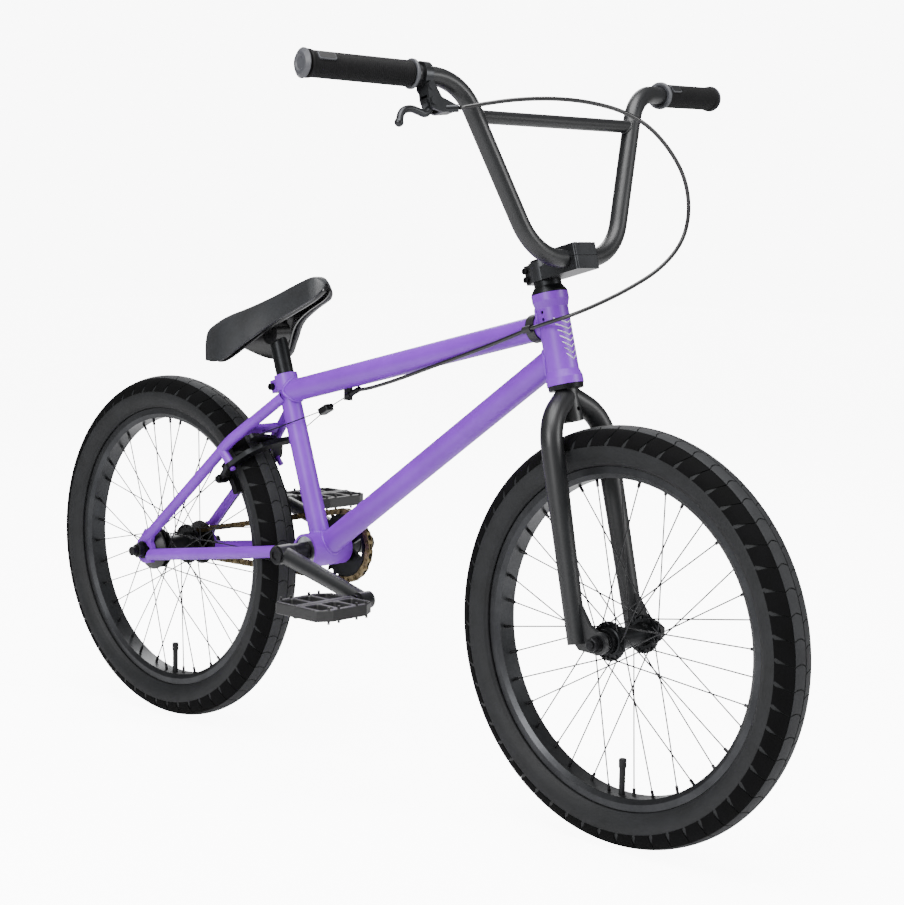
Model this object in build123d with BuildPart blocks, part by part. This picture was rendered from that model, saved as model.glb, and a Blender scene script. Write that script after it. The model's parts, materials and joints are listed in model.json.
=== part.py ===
"""A twenty inch bmx bike with left hand drive and a rear u-brake.

Millimetres. +X points the way the bike travels, +Y to the rider's left, +Z up.
The origin is on the ground, midway between the two axles.
"""

import os
from math import asin, atan2, cos, degrees, pi, radians, sin, sqrt, tan

from build123d import *

# ---------------------------------------------------------------- driving dimensions

WHEEL_BASE = 870.0
TYRE_RADIUS = 257.0
HEAD_ANGLE = 75.0
SEAT_ANGLE = 71.0
BOTTOM_BRACKET = Vector(-106.5, 0, 295)
HEAD_BOTTOM = Vector(329, 0, 555)
HEAD_LENGTH = 114.0
SEAT_TUBE_LENGTH = 251.0
TOP_TUBE_RISE = 0.246
TOP_TUBE_HEIGHT = 552.6
CRANK_LENGTH = 165.0
CRANK_DROP = 14.0
CRANK_ARM_Y = 73.0
CHAIN_LINE = 42.0
CHAIN_PITCH = 12.7
SPROCKET_TEETH = 24
DRIVER_TEETH = 9
REAR_HUB_WIDTH = 110.0
FRONT_HUB_WIDTH = 100.0
REAR_AXLE_RADIUS = 7.0
FRONT_AXLE_RADIUS = 5.0
REAR_AXLE_REACH = 82.6
FRONT_AXLE_REACH = 69.0
SPOKE_COUNT = 36
SPOKE_RADIUS = 0.9

TOP_TUBE_RADIUS = 15.9
DOWN_TUBE_RADIUS = 16.5
SEAT_TUBE_RADIUS = 14.3
TUBE_WALL = 1.2
SEAT_POST_RADIUS = 12.7
STEERER_RADIUS = 14.3
BAR_RADIUS = 11.1
BAR_WALL = 1.8
STEM_REACH = 50.0
STEM_BASE = 130.0
BAR_HEIGHT = 146.5
GRIP_START = 227.0
GRIP_END = 367.0
HOUSING_RADIUS = 2.5
WIRE_RADIUS = 0.8

FIT = 0.05
GAP = 0.3

# ---------------------------------------------------------------- places worked out from them

LEFT = Vector(0, 1, 0)
REAR_AXLE = Vector(-WHEEL_BASE / 2, 0, TYRE_RADIUS)
FRONT_AXLE = Vector(WHEEL_BASE / 2, 0, TYRE_RADIUS)
HEAD_UP = Vector(-cos(radians(HEAD_ANGLE)), 0, sin(radians(HEAD_ANGLE)))
STEM_FORWARD = Vector(sin(radians(HEAD_ANGLE)), 0, cos(radians(HEAD_ANGLE)))
SEAT_UP = Vector(-cos(radians(SEAT_ANGLE)), 0, sin(radians(SEAT_ANGLE)))
BAR_CENTRE = HEAD_BOTTOM + HEAD_UP * BAR_HEIGHT + STEM_FORWARD * STEM_REACH
SIDES = (-1, 1)


def mirrored(point, side):
    """The same point on the right (-1) or the left (1) of the bike."""
    place = Vector(*point)
    return Vector(place.X, side * place.Y, place.Z)


def top_tube_point(x):
    """The top tube's centre line at a distance along the bike."""
    return Vector(x, 0, TOP_TUBE_HEIGHT + TOP_TUBE_RISE * x)


# ---------------------------------------------------------------- shared ways of making a solid


def rod(start, end, radius, bore=0.0):
    """A round bar, or a tube when it has a bore, between two points."""
    run = Vector(end) - Vector(start)
    with BuildPart() as bar:
        with BuildSketch(Plane(origin=start, z_dir=run)):
            Circle(radius)
            if bore:
                Circle(bore, mode=Mode.SUBTRACT)
        extrude(amount=run.length)
    return bar.part


def cone(start, end, start_radius, end_radius):
    """A tapered round bar between two points."""
    run = Vector(end) - Vector(start)
    with BuildPart() as bar:
        with BuildSketch(Plane(origin=start, z_dir=run)):
            Circle(start_radius)
        with BuildSketch(Plane(origin=end, z_dir=run)):
            Circle(end_radius)
        loft()
    return bar.part


def bent(points, radii, outer, bore=0.0):
    """A tube along straight runs joined by tangent arcs."""
    with BuildPart() as pipe:
        with BuildLine() as path:
            FilletPolyline(*points, radius=radii)
        with BuildSketch(Plane(origin=path.line @ 0, z_dir=path.line % 0)):
            Circle(outer)
            if bore:
                Circle(bore, mode=Mode.SUBTRACT)
        sweep()
    return pipe.part


def turned(profile, origin, direction):
    """A turned piece: (radius, height) points revolved about an axis."""
    axis = Vector(direction).normalized()
    across = Vector(1, 0, 0) if abs(axis.Y) > 0.9 else LEFT
    radial = axis.cross(across).normalized()
    with BuildPart() as piece:
        with BuildSketch(Plane(origin=origin, x_dir=radial, z_dir=radial.cross(axis))):
            with BuildLine():
                Polyline(*profile, close=True)
            make_face()
        revolve(axis=Axis(origin, axis))
    return piece.part


def joined(solids, cutters=()):
    """Several touching solids made one, less the cutters."""
    with BuildPart() as whole:
        add(solids)
        if cutters:
            add(cutters, mode=Mode.SUBTRACT)
    return whole.part


def block(plane, size, centre, edge=0.0):
    """A box on a plane, its centre given in that plane's own directions."""
    with BuildPart() as box:
        with BuildSketch(plane.offset(centre[2] - size[2] / 2)):
            with Locations((centre[0], centre[1])):
                if edge:
                    RectangleRounded(size[0], size[1], edge)
                else:
                    Rectangle(size[0], size[1])
        extrude(amount=size[2])
    return box.part


def separate(solids):
    """Solids that share a node and stay apart."""
    return Compound(children=[solid for part in solids for solid in part.solids()])


def hex_nut(start, direction, flats, thickness, bore):
    """A hexagonal nut with a round bore."""
    with BuildPart() as nut:
        with BuildSketch(Plane(origin=start, z_dir=direction)):
            RegularPolygon(flats / 2, 6, major_radius=False)
            Circle(bore, mode=Mode.SUBTRACT)
        extrude(amount=thickness)
        straight_edges = nut.edges().filter_by(GeomType.LINE)
        chamfer(straight_edges.group_by(Axis(start, direction))[-1], 0.8)
    return nut.part


def write(name, shape):
    """One file for each named node."""
    shape.label = name
    export_step(shape, f"parts/{name}.step")


os.makedirs("parts", exist_ok=True)

# ---------------------------------------------------------------- frame tubes

HEAD_END_RADIUS = 23.0
HEAD_WAIST_RADIUS = 20.0
BEARING_RADIUS = 20.9
COLLAR_RADIUS = 16.6
SHELL_RADIUS = 24.0
SHELL_HALF_WIDTH = 34.0
SHELL_BORE = 20.5
TAB_HOLE_RADIUS = 2.1
TAB_HOLE_HEIGHTS = (82.0, 91.0)

head_turned = turned(
    [
        (17.5, 9.5),
        (BEARING_RADIUS, 8),
        (BEARING_RADIUS, 0),
        (HEAD_END_RADIUS, 0),
        (HEAD_END_RADIUS, 9),
        (HEAD_WAIST_RADIUS, 18),
        (HEAD_WAIST_RADIUS, HEAD_LENGTH - 18),
        (HEAD_END_RADIUS, HEAD_LENGTH - 9),
        (HEAD_END_RADIUS, HEAD_LENGTH),
        (BEARING_RADIUS, HEAD_LENGTH),
        (BEARING_RADIUS, HEAD_LENGTH - 8),
        (17.5, HEAD_LENGTH - 9.5),
    ],
    HEAD_BOTTOM,
    HEAD_UP,
)
tab_holes = []
for height in TAB_HOLE_HEIGHTS:
    hole_centre = HEAD_BOTTOM + HEAD_UP * height
    tab_holes.append(rod(hole_centre - LEFT * 30, hole_centre + LEFT * 30, TAB_HOLE_RADIUS))
head_tube = joined([head_turned], tab_holes)
write("head_tube", head_tube)

head_solid = turned(
    [
        (0, -1),
        (HEAD_END_RADIUS + FIT, -1),
        (HEAD_END_RADIUS + FIT, 9),
        (HEAD_WAIST_RADIUS + FIT, 18),
        (HEAD_WAIST_RADIUS + FIT, HEAD_LENGTH - 18),
        (HEAD_END_RADIUS + FIT, HEAD_LENGTH - 9),
        (HEAD_END_RADIUS + FIT, HEAD_LENGTH + 1),
        (0, HEAD_LENGTH + 1),
    ],
    HEAD_BOTTOM,
    HEAD_UP,
)
seat_solid = rod(BOTTOM_BRACKET, BOTTOM_BRACKET + SEAT_UP * (SEAT_TUBE_LENGTH + 20), SEAT_TUBE_RADIUS + FIT)
shell_solid = rod(BOTTOM_BRACKET - LEFT * 50, BOTTOM_BRACKET + LEFT * 50, SHELL_RADIUS + FIT)
seat_top = BOTTOM_BRACKET + SEAT_UP * SEAT_TUBE_LENGTH
collar_foot = seat_top - SEAT_UP * 22
collar_solid = rod(collar_foot - SEAT_UP, seat_top, COLLAR_RADIUS + FIT)

top_tube = joined(
    [rod(top_tube_point(-178), top_tube_point(306), TOP_TUBE_RADIUS, TOP_TUBE_RADIUS - TUBE_WALL)],
    [head_solid, seat_solid, collar_solid],
)
write("top_tube", top_tube)

down_top = HEAD_BOTTOM + HEAD_UP * 38
down_tube = joined(
    [rod(BOTTOM_BRACKET, down_top, DOWN_TUBE_RADIUS, DOWN_TUBE_RADIUS - TUBE_WALL)],
    [head_solid, seat_solid, shell_solid],
)
down_solid = rod(BOTTOM_BRACKET, down_top, DOWN_TUBE_RADIUS + FIT)
write("down_tube", down_tube)

seat_back = Vector(-SEAT_UP.Z, 0, SEAT_UP.X)
clamp_plane = Plane(origin=seat_top - SEAT_UP * 11, x_dir=seat_back, z_dir=SEAT_UP)
clamp_bolt_centre = seat_top - SEAT_UP * 11 + seat_back * 24
seat_tube = joined(
    [
        rod(BOTTOM_BRACKET, seat_top, SEAT_TUBE_RADIUS),
        rod(collar_foot, seat_top, COLLAR_RADIUS),
        block(clamp_plane, (16, 14, 18), (21, 0, 0), 2),
    ],
    [
        shell_solid,
        rod(BOTTOM_BRACKET, seat_top + SEAT_UP, SEAT_POST_RADIUS + FIT),
        block(clamp_plane, (20, 2, 40), (22, 0, 0)),
        rod(clamp_bolt_centre - LEFT * 20, clamp_bolt_centre + LEFT * 20, 3.1),
    ],
)
write("seat_tube", seat_tube)

bb_shell = rod(
    BOTTOM_BRACKET - LEFT * SHELL_HALF_WIDTH,
    BOTTOM_BRACKET + LEFT * SHELL_HALF_WIDTH,
    SHELL_RADIUS,
    SHELL_BORE,
)
write("bb_shell", bb_shell)

CHAIN_STAY_BENDS = [(-424, 58, 250.5), (-212, 47, 280.5), (-150, 26, 288.5), (-110, 25, 291)]
SEAT_STAY_BENDS = [(-427, 58, 277.5), (-256, 42.5, 436), (-178, 13, 502)]
CHAIN_STAY_RADIUS = 8.6
SEAT_STAY_RADIUS = 8.0

stay_seat_solid = rod(BOTTOM_BRACKET, seat_top, SEAT_TUBE_RADIUS + FIT)
chain_stays = []
seat_stays = []
nut_room = rod(REAR_AXLE - LEFT * 80, REAR_AXLE + LEFT * 80, 15)
guard_room = rod(REAR_AXLE - LEFT * (REAR_HUB_WIDTH / 2), REAR_AXLE + LEFT * (REAR_HUB_WIDTH / 2), 34)
stay_cutters = [stay_seat_solid, collar_solid, shell_solid, down_solid, nut_room, guard_room]
for side in SIDES:
    chain_points = [mirrored(point, side) for point in CHAIN_STAY_BENDS]
    seat_points = [mirrored(point, side) for point in SEAT_STAY_BENDS]
    chain_tube = bent(chain_points, [60, 40], CHAIN_STAY_RADIUS, CHAIN_STAY_RADIUS - TUBE_WALL)
    seat_tube_stay = bent(seat_points, 90, SEAT_STAY_RADIUS, SEAT_STAY_RADIUS - TUBE_WALL)
    chain_stays.append(joined([chain_tube], stay_cutters))
    seat_stays.append(joined([seat_tube_stay], stay_cutters))

# ---------------------------------------------------------------- rear dropouts

DROPOUT_INNER = REAR_HUB_WIDTH / 2
DROPOUT_THICKNESS = 6.0
DROPOUT_OUTER = DROPOUT_INNER + DROPOUT_THICKNESS

dropouts = []
for side in SIDES:
    face = Plane(origin=REAR_AXLE + LEFT * (DROPOUT_INNER * side), x_dir=(1, 0, 0), z_dir=(0, side, 0))
    up = -side
    with BuildPart() as dropout:
        with BuildSketch(face):
            with Locations((3, 0)):
                Circle(20)
            with BuildLine():
                Polyline(
                    (-12, 12 * up),
                    (4, 32 * up),
                    (22, 25 * up),
                    (14, 2 * up),
                    (20, -17 * up),
                    (3, -19 * up),
                    close=True,
                )
            make_face()
            with Locations((4.8, 0)):
                SlotOverall(24, 2 * REAR_AXLE_RADIUS + 0.4, mode=Mode.SUBTRACT)
        extrude(amount=DROPOUT_THICKNESS)
    dropouts.append(dropout.part)
stay_solids = []
for side in SIDES:
    chain_end = [mirrored(point, side) for point in CHAIN_STAY_BENDS[:2]]
    seat_end = [mirrored(point, side) for point in SEAT_STAY_BENDS[:2]]
    stay_solids.append(rod(chain_end[0], chain_end[1], CHAIN_STAY_RADIUS + FIT))
    stay_solids.append(rod(seat_end[0], seat_end[1], SEAT_STAY_RADIUS + FIT))
rear_dropouts = separate([joined([dropout], stay_solids) for dropout in dropouts])
write("rear_dropouts", rear_dropouts)
write("chain_stays", separate(chain_stays))
write("seat_stays", separate(seat_stays))

# ---------------------------------------------------------------- brake mounts on the seat stays

STAY_UP = Vector(0.7335, 0, 0.6797)
STAY_FRONT = Vector(0.6797, 0, -0.7335)
PIVOT_CENTRE = Vector(-258, 0, 407)
PIVOT_Y = 45.0
STUD_RADIUS = 4.0
STUD_FOOT = -10.0
STUD_TIP = 16.0
NEAR_ARM_START = 6.0
FAR_ARM_START = -4.0
ARM_THICKNESS = 7.0


def brake_point(y, up, front):
    """A place near the rear brake: across, up the stays, and out from them."""
    return PIVOT_CENTRE + LEFT * y + STAY_UP * up + STAY_FRONT * front


seat_stay_solids = [
    bent([mirrored(p, side)
    for p in SEAT_STAY_BENDS], 90, SEAT_STAY_RADIUS + FIT) for side in SIDES
]
mounts = []
for side, boss_top in ((-1, NEAR_ARM_START - GAP), (1, FAR_ARM_START - GAP)):
    boss = rod(brake_point(side * PIVOT_Y, 0, STUD_FOOT - 6), brake_point(side * PIVOT_Y, 0, boss_top), 6.5)
    stud = rod(
        brake_point(side * PIVOT_Y, 0, boss_top - 1), brake_point(side * PIVOT_Y, 0, STUD_TIP), STUD_RADIUS
    )
    mounts.append(joined([boss, stud], seat_stay_solids))
bridge_plane = Plane(origin=brake_point(0, 46, -18), x_dir=(0, 1, 0), z_dir=STAY_FRONT)
bridge = joined(
    [block(bridge_plane, (76, 17, 6), (0, 0, 0), 2)],
    seat_stay_solids + [rod(brake_point(0, 46, -30), brake_point(0, 46, 0), 3)],
)
mounts.append(bridge)
write("brake_mounts", separate(mounts))

# ---------------------------------------------------------------- seat clamp bolt, post and saddle

SADDLE_TILT = 22.0
POST_TOP = 304.0
CRADLE_RADIUS = 16.0


def cap_screw(head_start, direction, shank_radius, length, head_radius, head_height, socket=0.5):
    """A socket screw: the head's underside is at head_start and the shank runs along direction."""
    way = Vector(direction).normalized()
    shank = rod(head_start, head_start + way * length, shank_radius)
    head = rod(head_start, head_start - way * head_height, head_radius)
    key = hex_prism(head_start - way * head_height * socket, way * -1, head_radius * 1.1, head_height)
    return joined([shank, head], [key])


def hex_prism(start, direction, flats, length):
    """A plain hexagonal bar."""
    with BuildPart() as bar:
        with BuildSketch(Plane(origin=start, z_dir=direction)):
            RegularPolygon(flats / 2, 6, major_radius=False)
        extrude(amount=length)
    return bar.part


clamp_screw = cap_screw(clamp_bolt_centre - LEFT * 7, LEFT, 3.0, 16, 5.0, 5.0)
clamp_nut = rod(clamp_bolt_centre + LEFT * 7, clamp_bolt_centre + LEFT * 10, 5.0, 3.0 + FIT)

post_top = BOTTOM_BRACKET + SEAT_UP * POST_TOP
cradle_centre = post_top + SEAT_UP * 8
post_foot = seat_top - SEAT_UP * 95
seat_post = joined(
    [
        rod(post_foot, post_top, SEAT_POST_RADIUS, SEAT_POST_RADIUS - 2.2),
        rod(post_top - SEAT_UP * 22, post_top, SEAT_POST_RADIUS),
    ],
    [
        rod(cradle_centre - LEFT * 20, cradle_centre + LEFT * 20, CRADLE_RADIUS),
        rod(post_top - SEAT_UP * 30, post_top + SEAT_UP * 10, 4.1),
    ],
)
write("seat_post", seat_post)

saddle_forward = Vector(cos(radians(SADDLE_TILT)), 0, sin(radians(SADDLE_TILT)))
PAD_DEPTH = 12.0
SADDLE_PIVOT = Vector(-203, 0, 592)

# along the saddle: distance from the pivot, half width, height of the top, height of the lower edge
SADDLE_SECTIONS = [
    (-112, 36, 39, 14),
    (-96, 57, 45, -6),
    (-60, 66, 47, -20),
    (-20, 51, 46, -8),
    (20, 33, 46, 4),
    (60, 24, 47, 9),
    (98, 20, 46, 12),
    (116, 13, 40, 18),
]


def saddle_shell(sections, start, clearance, thickness):
    """An arched shell lofted along the saddle, a distance in from the outer skin."""
    with BuildPart() as shell:
        for along, half_width, top, low in sections:
            plane = Plane(
                origin=SADDLE_PIVOT + saddle_forward * along, x_dir=(0, 1, 0), z_dir=saddle_forward
            )
            outer = half_width - min(start, half_width / 2) - clearance
            crown = top - start - clearance
            inner = outer - min(thickness, outer / 2)
            with BuildSketch(plane):
                with BuildLine():
                    ThreePointArc((-outer, low), (0, crown), (outer, low))
                    Line((outer, low), (inner, low))
                    ThreePointArc((inner, low), (0, crown - thickness), (-inner, low))
                    Line((-inner, low), (-outer, low))
                make_face()
        loft()
    return shell.part


saddle_pad = saddle_shell(SADDLE_SECTIONS, 0, 0, PAD_DEPTH)
pad_seat = saddle_shell(SADDLE_SECTIONS, PAD_DEPTH, 3 * GAP, 3)
boss_plane = Plane(origin=cradle_centre, x_dir=SEAT_UP.cross(LEFT) * -1, z_dir=SEAT_UP)
saddle_boss = joined(
    [
        rod(cradle_centre - LEFT * 13, cradle_centre + LEFT * 13, CRADLE_RADIUS - FIT),
        block(boss_plane, (30, 22, 25), (0, 0, 11.5)),
    ],
    [rod(cradle_centre - SEAT_UP * 30, cradle_centre + SEAT_UP * 60, 4.1)],
)
write("saddle_pad", saddle_pad)
saddle_base = joined([pad_seat, saddle_boss])
write("saddle_base", saddle_base)
saddle_screw = cap_screw(cradle_centre + SEAT_UP * 24.1, SEAT_UP * -1, 4.0, 50, 7.0, 4.0)
write("seat_bolts", separate([clamp_screw, clamp_nut, saddle_screw]))

# ---------------------------------------------------------------- bearings held in the frame

HEAD_BEARING_BORE = 15.3
BB_SPINDLE_RADIUS = 9.5

headset_bearings = []
for foot in (0.5, HEAD_LENGTH - 7.5):
    headset_bearings.append(
        rod(
            HEAD_BOTTOM + HEAD_UP * foot,
            HEAD_BOTTOM + HEAD_UP * (foot + 7),
            BEARING_RADIUS - FIT,
            HEAD_BEARING_BORE,
        )
    )
write("headset_bearings", separate(headset_bearings))

bb_bearings = []
for side in SIDES:
    inner_face = BOTTOM_BRACKET + LEFT * (side * 22)
    outer_face = BOTTOM_BRACKET + LEFT * (side * (SHELL_HALF_WIDTH - 2))
    bb_bearings.append(rod(inner_face, outer_face, SHELL_BORE - FIT, BB_SPINDLE_RADIUS + FIT))
write("bb_bearings", separate(bb_bearings))

# ---------------------------------------------------------------- rear axle and hub guards


WASHER_HEIGHT = 2.0
AXLE_END_STEP = 0.25


def axle_set(centre, radius, reach, inner, outer, nut_flats, nut_height):
    """A threaded axle with a washer and a nut outside each dropout."""
    threaded = outer + WASHER_HEIGHT + nut_height
    shaft = [rod(centre - LEFT * threaded, centre + LEFT * threaded, radius)]
    pieces = []
    for side in SIDES:
        way = LEFT * side
        shaft.append(rod(centre + way * (threaded - 1), centre + way * reach, radius - AXLE_END_STEP))
        nut_foot = centre + way * (outer + WASHER_HEIGHT)
        washer = rod(centre + way * outer, nut_foot, nut_flats * 0.68, radius + FIT)
        nut = hex_nut(nut_foot, way, nut_flats, nut_height, radius + FIT)
        cone_nut = rod(centre + way * (inner - 4), centre + way * inner, radius + 3.5, radius + FIT)
        pieces += [washer, nut, cone_nut]
    return separate([joined(shaft), *pieces])


write(
    "rear_axle",
    axle_set(REAR_AXLE, REAR_AXLE_RADIUS, REAR_AXLE_REACH, DROPOUT_INNER, DROPOUT_OUTER, 19, 11),
)

GUARD_RADIUS = 31.0
DRIVE_GUARD_RADIUS = 33.0


def guard(side, radius, base, height):
    """A domed plastic cap over the hub's end, held on the axle."""
    way = LEFT * side
    bore = REAR_AXLE_RADIUS + 3.6
    profile = [
        (bore, height),
        (bore + 5, height),
        (radius - 6, height * 0.55),
        (radius, height * 0.2),
        (radius, 0),
        (radius - 2, 0),
        (radius - 8, height * 0.35),
        (bore + 4, height - 2.2),
        (bore, height - 2.2),
    ]
    return turned(profile, REAR_AXLE + way * base, way)


hub_guards = separate([guard(-1, GUARD_RADIUS, 41.5, 13), guard(1, DRIVE_GUARD_RADIUS, 48, 6.5)])
write("hub_guards", hub_guards)

# ---------------------------------------------------------------- chain, sprocket and driver

SPROCKET_PITCH_RADIUS = CHAIN_PITCH / (2 * sin(pi / SPROCKET_TEETH))
DRIVER_PITCH_RADIUS = CHAIN_PITCH / (2 * sin(pi / DRIVER_TEETH))
ROLLER_RADIUS = 3.9
TOOTH_THICKNESS = 2.8


def tooth_blank(centre, pitch_radius, teeth, start_angle, thickness, y_middle):
    """A toothed disc: a roller seat is cut between each pair of teeth."""
    plane = Plane(origin=centre + LEFT * (y_middle + thickness / 2), x_dir=(1, 0, 0), z_dir=(0, 1, 0))
    with BuildPart() as disc:
        with BuildSketch(plane.offset(-thickness)):
            Circle(pitch_radius + 3.3)
            with PolarLocations(pitch_radius, teeth, start_angle=start_angle):
                Circle(ROLLER_RADIUS + 0.12, mode=Mode.SUBTRACT)
            with PolarLocations(pitch_radius + 4.2, teeth, start_angle=start_angle):
                Circle(ROLLER_RADIUS + 2.2, mode=Mode.SUBTRACT)
        extrude(amount=thickness)
    return disc.part


SPROCKET_ARMS = 6
SPROCKET_BODY = 6.0
SPROCKET_BOLT_REACH = 31.0
sprocket_centre = Vector(BOTTOM_BRACKET.X, 0, BOTTOM_BRACKET.Z)
chain_run = sprocket_centre - REAR_AXLE
chain_slope = degrees(atan2(chain_run.Z, chain_run.X))
wrap_lean = degrees(asin((SPROCKET_PITCH_RADIUS - DRIVER_PITCH_RADIUS) / chain_run.length))
upper_tangent = chain_slope + 90 + wrap_lean
arm_angle = -CRANK_DROP + 180

# the drawing planes below face +Y, so an angle that rises from +X towards +Z is negative on them
sprocket_plane = Plane(
    origin=sprocket_centre + LEFT * (CHAIN_LINE - SPROCKET_BODY / 2), x_dir=(1, 0, 0), z_dir=(0, 1, 0)
)
sprocket_teeth = tooth_blank(
    sprocket_centre, SPROCKET_PITCH_RADIUS, SPROCKET_TEETH, -upper_tangent, TOOTH_THICKNESS, CHAIN_LINE
)
with BuildPart() as sprocket_web:
    with BuildSketch(sprocket_plane):
        Circle(42.5)
    extrude(amount=SPROCKET_BODY)
with BuildPart() as sprocket_windows:
    with BuildSketch(sprocket_plane.offset(-1)):
        with PolarLocations(0, SPROCKET_ARMS, start_angle=-arm_angle + 180 / SPROCKET_ARMS):
            with BuildLine():
                RadiusArc((17, -4), (17, 4), -30)
                Line((17, 4), (34.5, 14.5))
                RadiusArc((34.5, 14.5), (34.5, -14.5), 37.4)
                Line((34.5, -14.5), (17, -4))
            make_face()
    extrude(amount=SPROCKET_BODY + 2)
bolt_direction = Vector(cos(radians(arm_angle)), 0, sin(radians(arm_angle)))
sprocket_bolt_centre = sprocket_centre + bolt_direction * SPROCKET_BOLT_REACH
sprocket = joined(
    [sprocket_teeth, sprocket_web.part],
    [
        sprocket_windows.part,
        rod(sprocket_centre, sprocket_centre + LEFT * 60, BB_SPINDLE_RADIUS + FIT),
        rod(sprocket_bolt_centre + LEFT * 30, sprocket_bolt_centre + LEFT * 50, 4.05),
    ],
)
write("sprocket", sprocket)

driver = joined(
    [
        tooth_blank(
            REAR_AXLE, DRIVER_PITCH_RADIUS, DRIVER_TEETH, -upper_tangent, TOOTH_THICKNESS, CHAIN_LINE
        ),
        rod(REAR_AXLE + LEFT * 33.5, REAR_AXLE + LEFT * 47.5, 12.8),
    ],
    [rod(REAR_AXLE, REAR_AXLE + LEFT * 60, REAR_AXLE_RADIUS + FIT)],
)
write("driver", driver)

PLATE_HEIGHT = 8.2
UPPER_LINKS = 26
LOWER_LINKS = 27


def on_circle(centre, radius, angle):
    """A place on a circle in the chain's plane."""
    return Vector(
        centre.X + radius * cos(radians(angle)), CHAIN_LINE, centre.Z + radius * sin(radians(angle))
    )


tooth_step = 360 / SPROCKET_TEETH
cog_step = 360 / DRIVER_TEETH
sprocket_rollers = int((180 + 2 * wrap_lean) / tooth_step)
driver_rollers = int((180 - 2 * wrap_lean) / cog_step)
pins = [
    on_circle(sprocket_centre, SPROCKET_PITCH_RADIUS, upper_tangent - tooth_step * i)
    for i in range(sprocket_rollers + 1)
]

lower_tangent = chain_slope - 90 - wrap_lean
sprocket_left_over = radians(180 + 2 * wrap_lean - tooth_step * sprocket_rollers) * SPROCKET_PITCH_RADIUS
driver_left_over = radians(180 - 2 * wrap_lean - cog_step * driver_rollers) * DRIVER_PITCH_RADIUS
straight = sqrt(chain_run.length**2 - (SPROCKET_PITCH_RADIUS - DRIVER_PITCH_RADIUS) ** 2)
lower_length = sprocket_left_over + straight + driver_left_over
lower_start = on_circle(sprocket_centre, SPROCKET_PITCH_RADIUS, lower_tangent)
lower_end = on_circle(REAR_AXLE, DRIVER_PITCH_RADIUS, lower_tangent)
for i in range(1, LOWER_LINKS):
    travelled = lower_length * i / LOWER_LINKS
    if travelled < sprocket_left_over:
        turn = degrees((sprocket_left_over - travelled) / SPROCKET_PITCH_RADIUS)
        pins.append(on_circle(sprocket_centre, SPROCKET_PITCH_RADIUS, lower_tangent + turn))
    elif travelled < sprocket_left_over + straight:
        pins.append(lower_start + (lower_end - lower_start) * ((travelled - sprocket_left_over) / straight))
    else:
        turn = degrees((travelled - sprocket_left_over - straight) / DRIVER_PITCH_RADIUS)
        pins.append(on_circle(REAR_AXLE, DRIVER_PITCH_RADIUS, lower_tangent - turn))
for i in range(driver_rollers, -1, -1):
    pins.append(on_circle(REAR_AXLE, DRIVER_PITCH_RADIUS, upper_tangent + cog_step * i))
upper_start = pins[-1]
upper_end = pins[0]
for i in range(1, UPPER_LINKS):
    pins.append(upper_start + (upper_end - upper_start) * (i / UPPER_LINKS))


def chain_plate(start, end, inner_face, thickness):
    """One side plate between two pins, with a hole for each."""
    run = end - start
    middle = (start + end) * 0.5
    side = 1 if inner_face > 0 else -1
    plane = Plane(origin=Vector(middle.X, CHAIN_LINE + inner_face, middle.Z), x_dir=run, z_dir=(0, side, 0))
    with BuildPart() as plate:
        with BuildSketch(plane):
            SlotCenterToCenter(run.length, PLATE_HEIGHT)
            with Locations((-run.length / 2, 0), (run.length / 2, 0)):
                Circle(1.85, mode=Mode.SUBTRACT)
        extrude(amount=thickness)
    return plate.part


chain_pieces = []
for index, pin in enumerate(pins):
    following = pins[(index + 1) % len(pins)]
    plate_face = 1.65 if index % 2 == 0 else 2.9
    if index == len(pins) - 1:
        plate_face = 4.15
    for side in SIDES:
        chain_pieces.append(chain_plate(pin, following, side * plate_face, 1.1))
    chain_pieces.append(rod(pin - LEFT * 5.4, pin + LEFT * 5.4, 1.8))
    chain_pieces.append(rod(pin - LEFT * 1.55, pin + LEFT * 1.55, ROLLER_RADIUS - 0.05, 1.85))
write("chain", separate(chain_pieces))

# ---------------------------------------------------------------- cranks

SPINDLE_HALF = 80.0
ARM_BOSS_INNER = 61.0
ARM_BOSS_OUTER = 85.2
ARM_BOSS_RADIUS = 13.5
PEDAL_BOSS_RADIUS = 11.5
PEDAL_SPINDLE_RADIUS = 5.0

spindle = rod(
    BOTTOM_BRACKET - LEFT * SPINDLE_HALF, BOTTOM_BRACKET + LEFT * SPINDLE_HALF, BB_SPINDLE_RADIUS, 6.0
)
spindle_sleeves = [
    rod(BOTTOM_BRACKET - LEFT * 60.8, BOTTOM_BRACKET - LEFT * 34.5, 12.5, BB_SPINDLE_RADIUS + FIT),
    rod(BOTTOM_BRACKET + LEFT * 34.5, BOTTOM_BRACKET + LEFT * 38.9, 13.5, BB_SPINDLE_RADIUS + FIT),
    rod(BOTTOM_BRACKET + LEFT * 45.1, BOTTOM_BRACKET + LEFT * 60.8, 12.5, BB_SPINDLE_RADIUS + FIT),
]
write("crank_spindle", separate([spindle] + spindle_sleeves))


def crank_direction(side):
    """Towards the pedal: the right arm leads and droops, the left arm trails and rises."""
    turn = radians(-CRANK_DROP if side < 0 else 180 - CRANK_DROP)
    return Vector(cos(turn), 0, sin(turn))


def pedal_centre(side):
    """The pedal thread's centre in the arm."""
    return BOTTOM_BRACKET + crank_direction(side) * CRANK_LENGTH + LEFT * (side * CRANK_ARM_Y)


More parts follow.
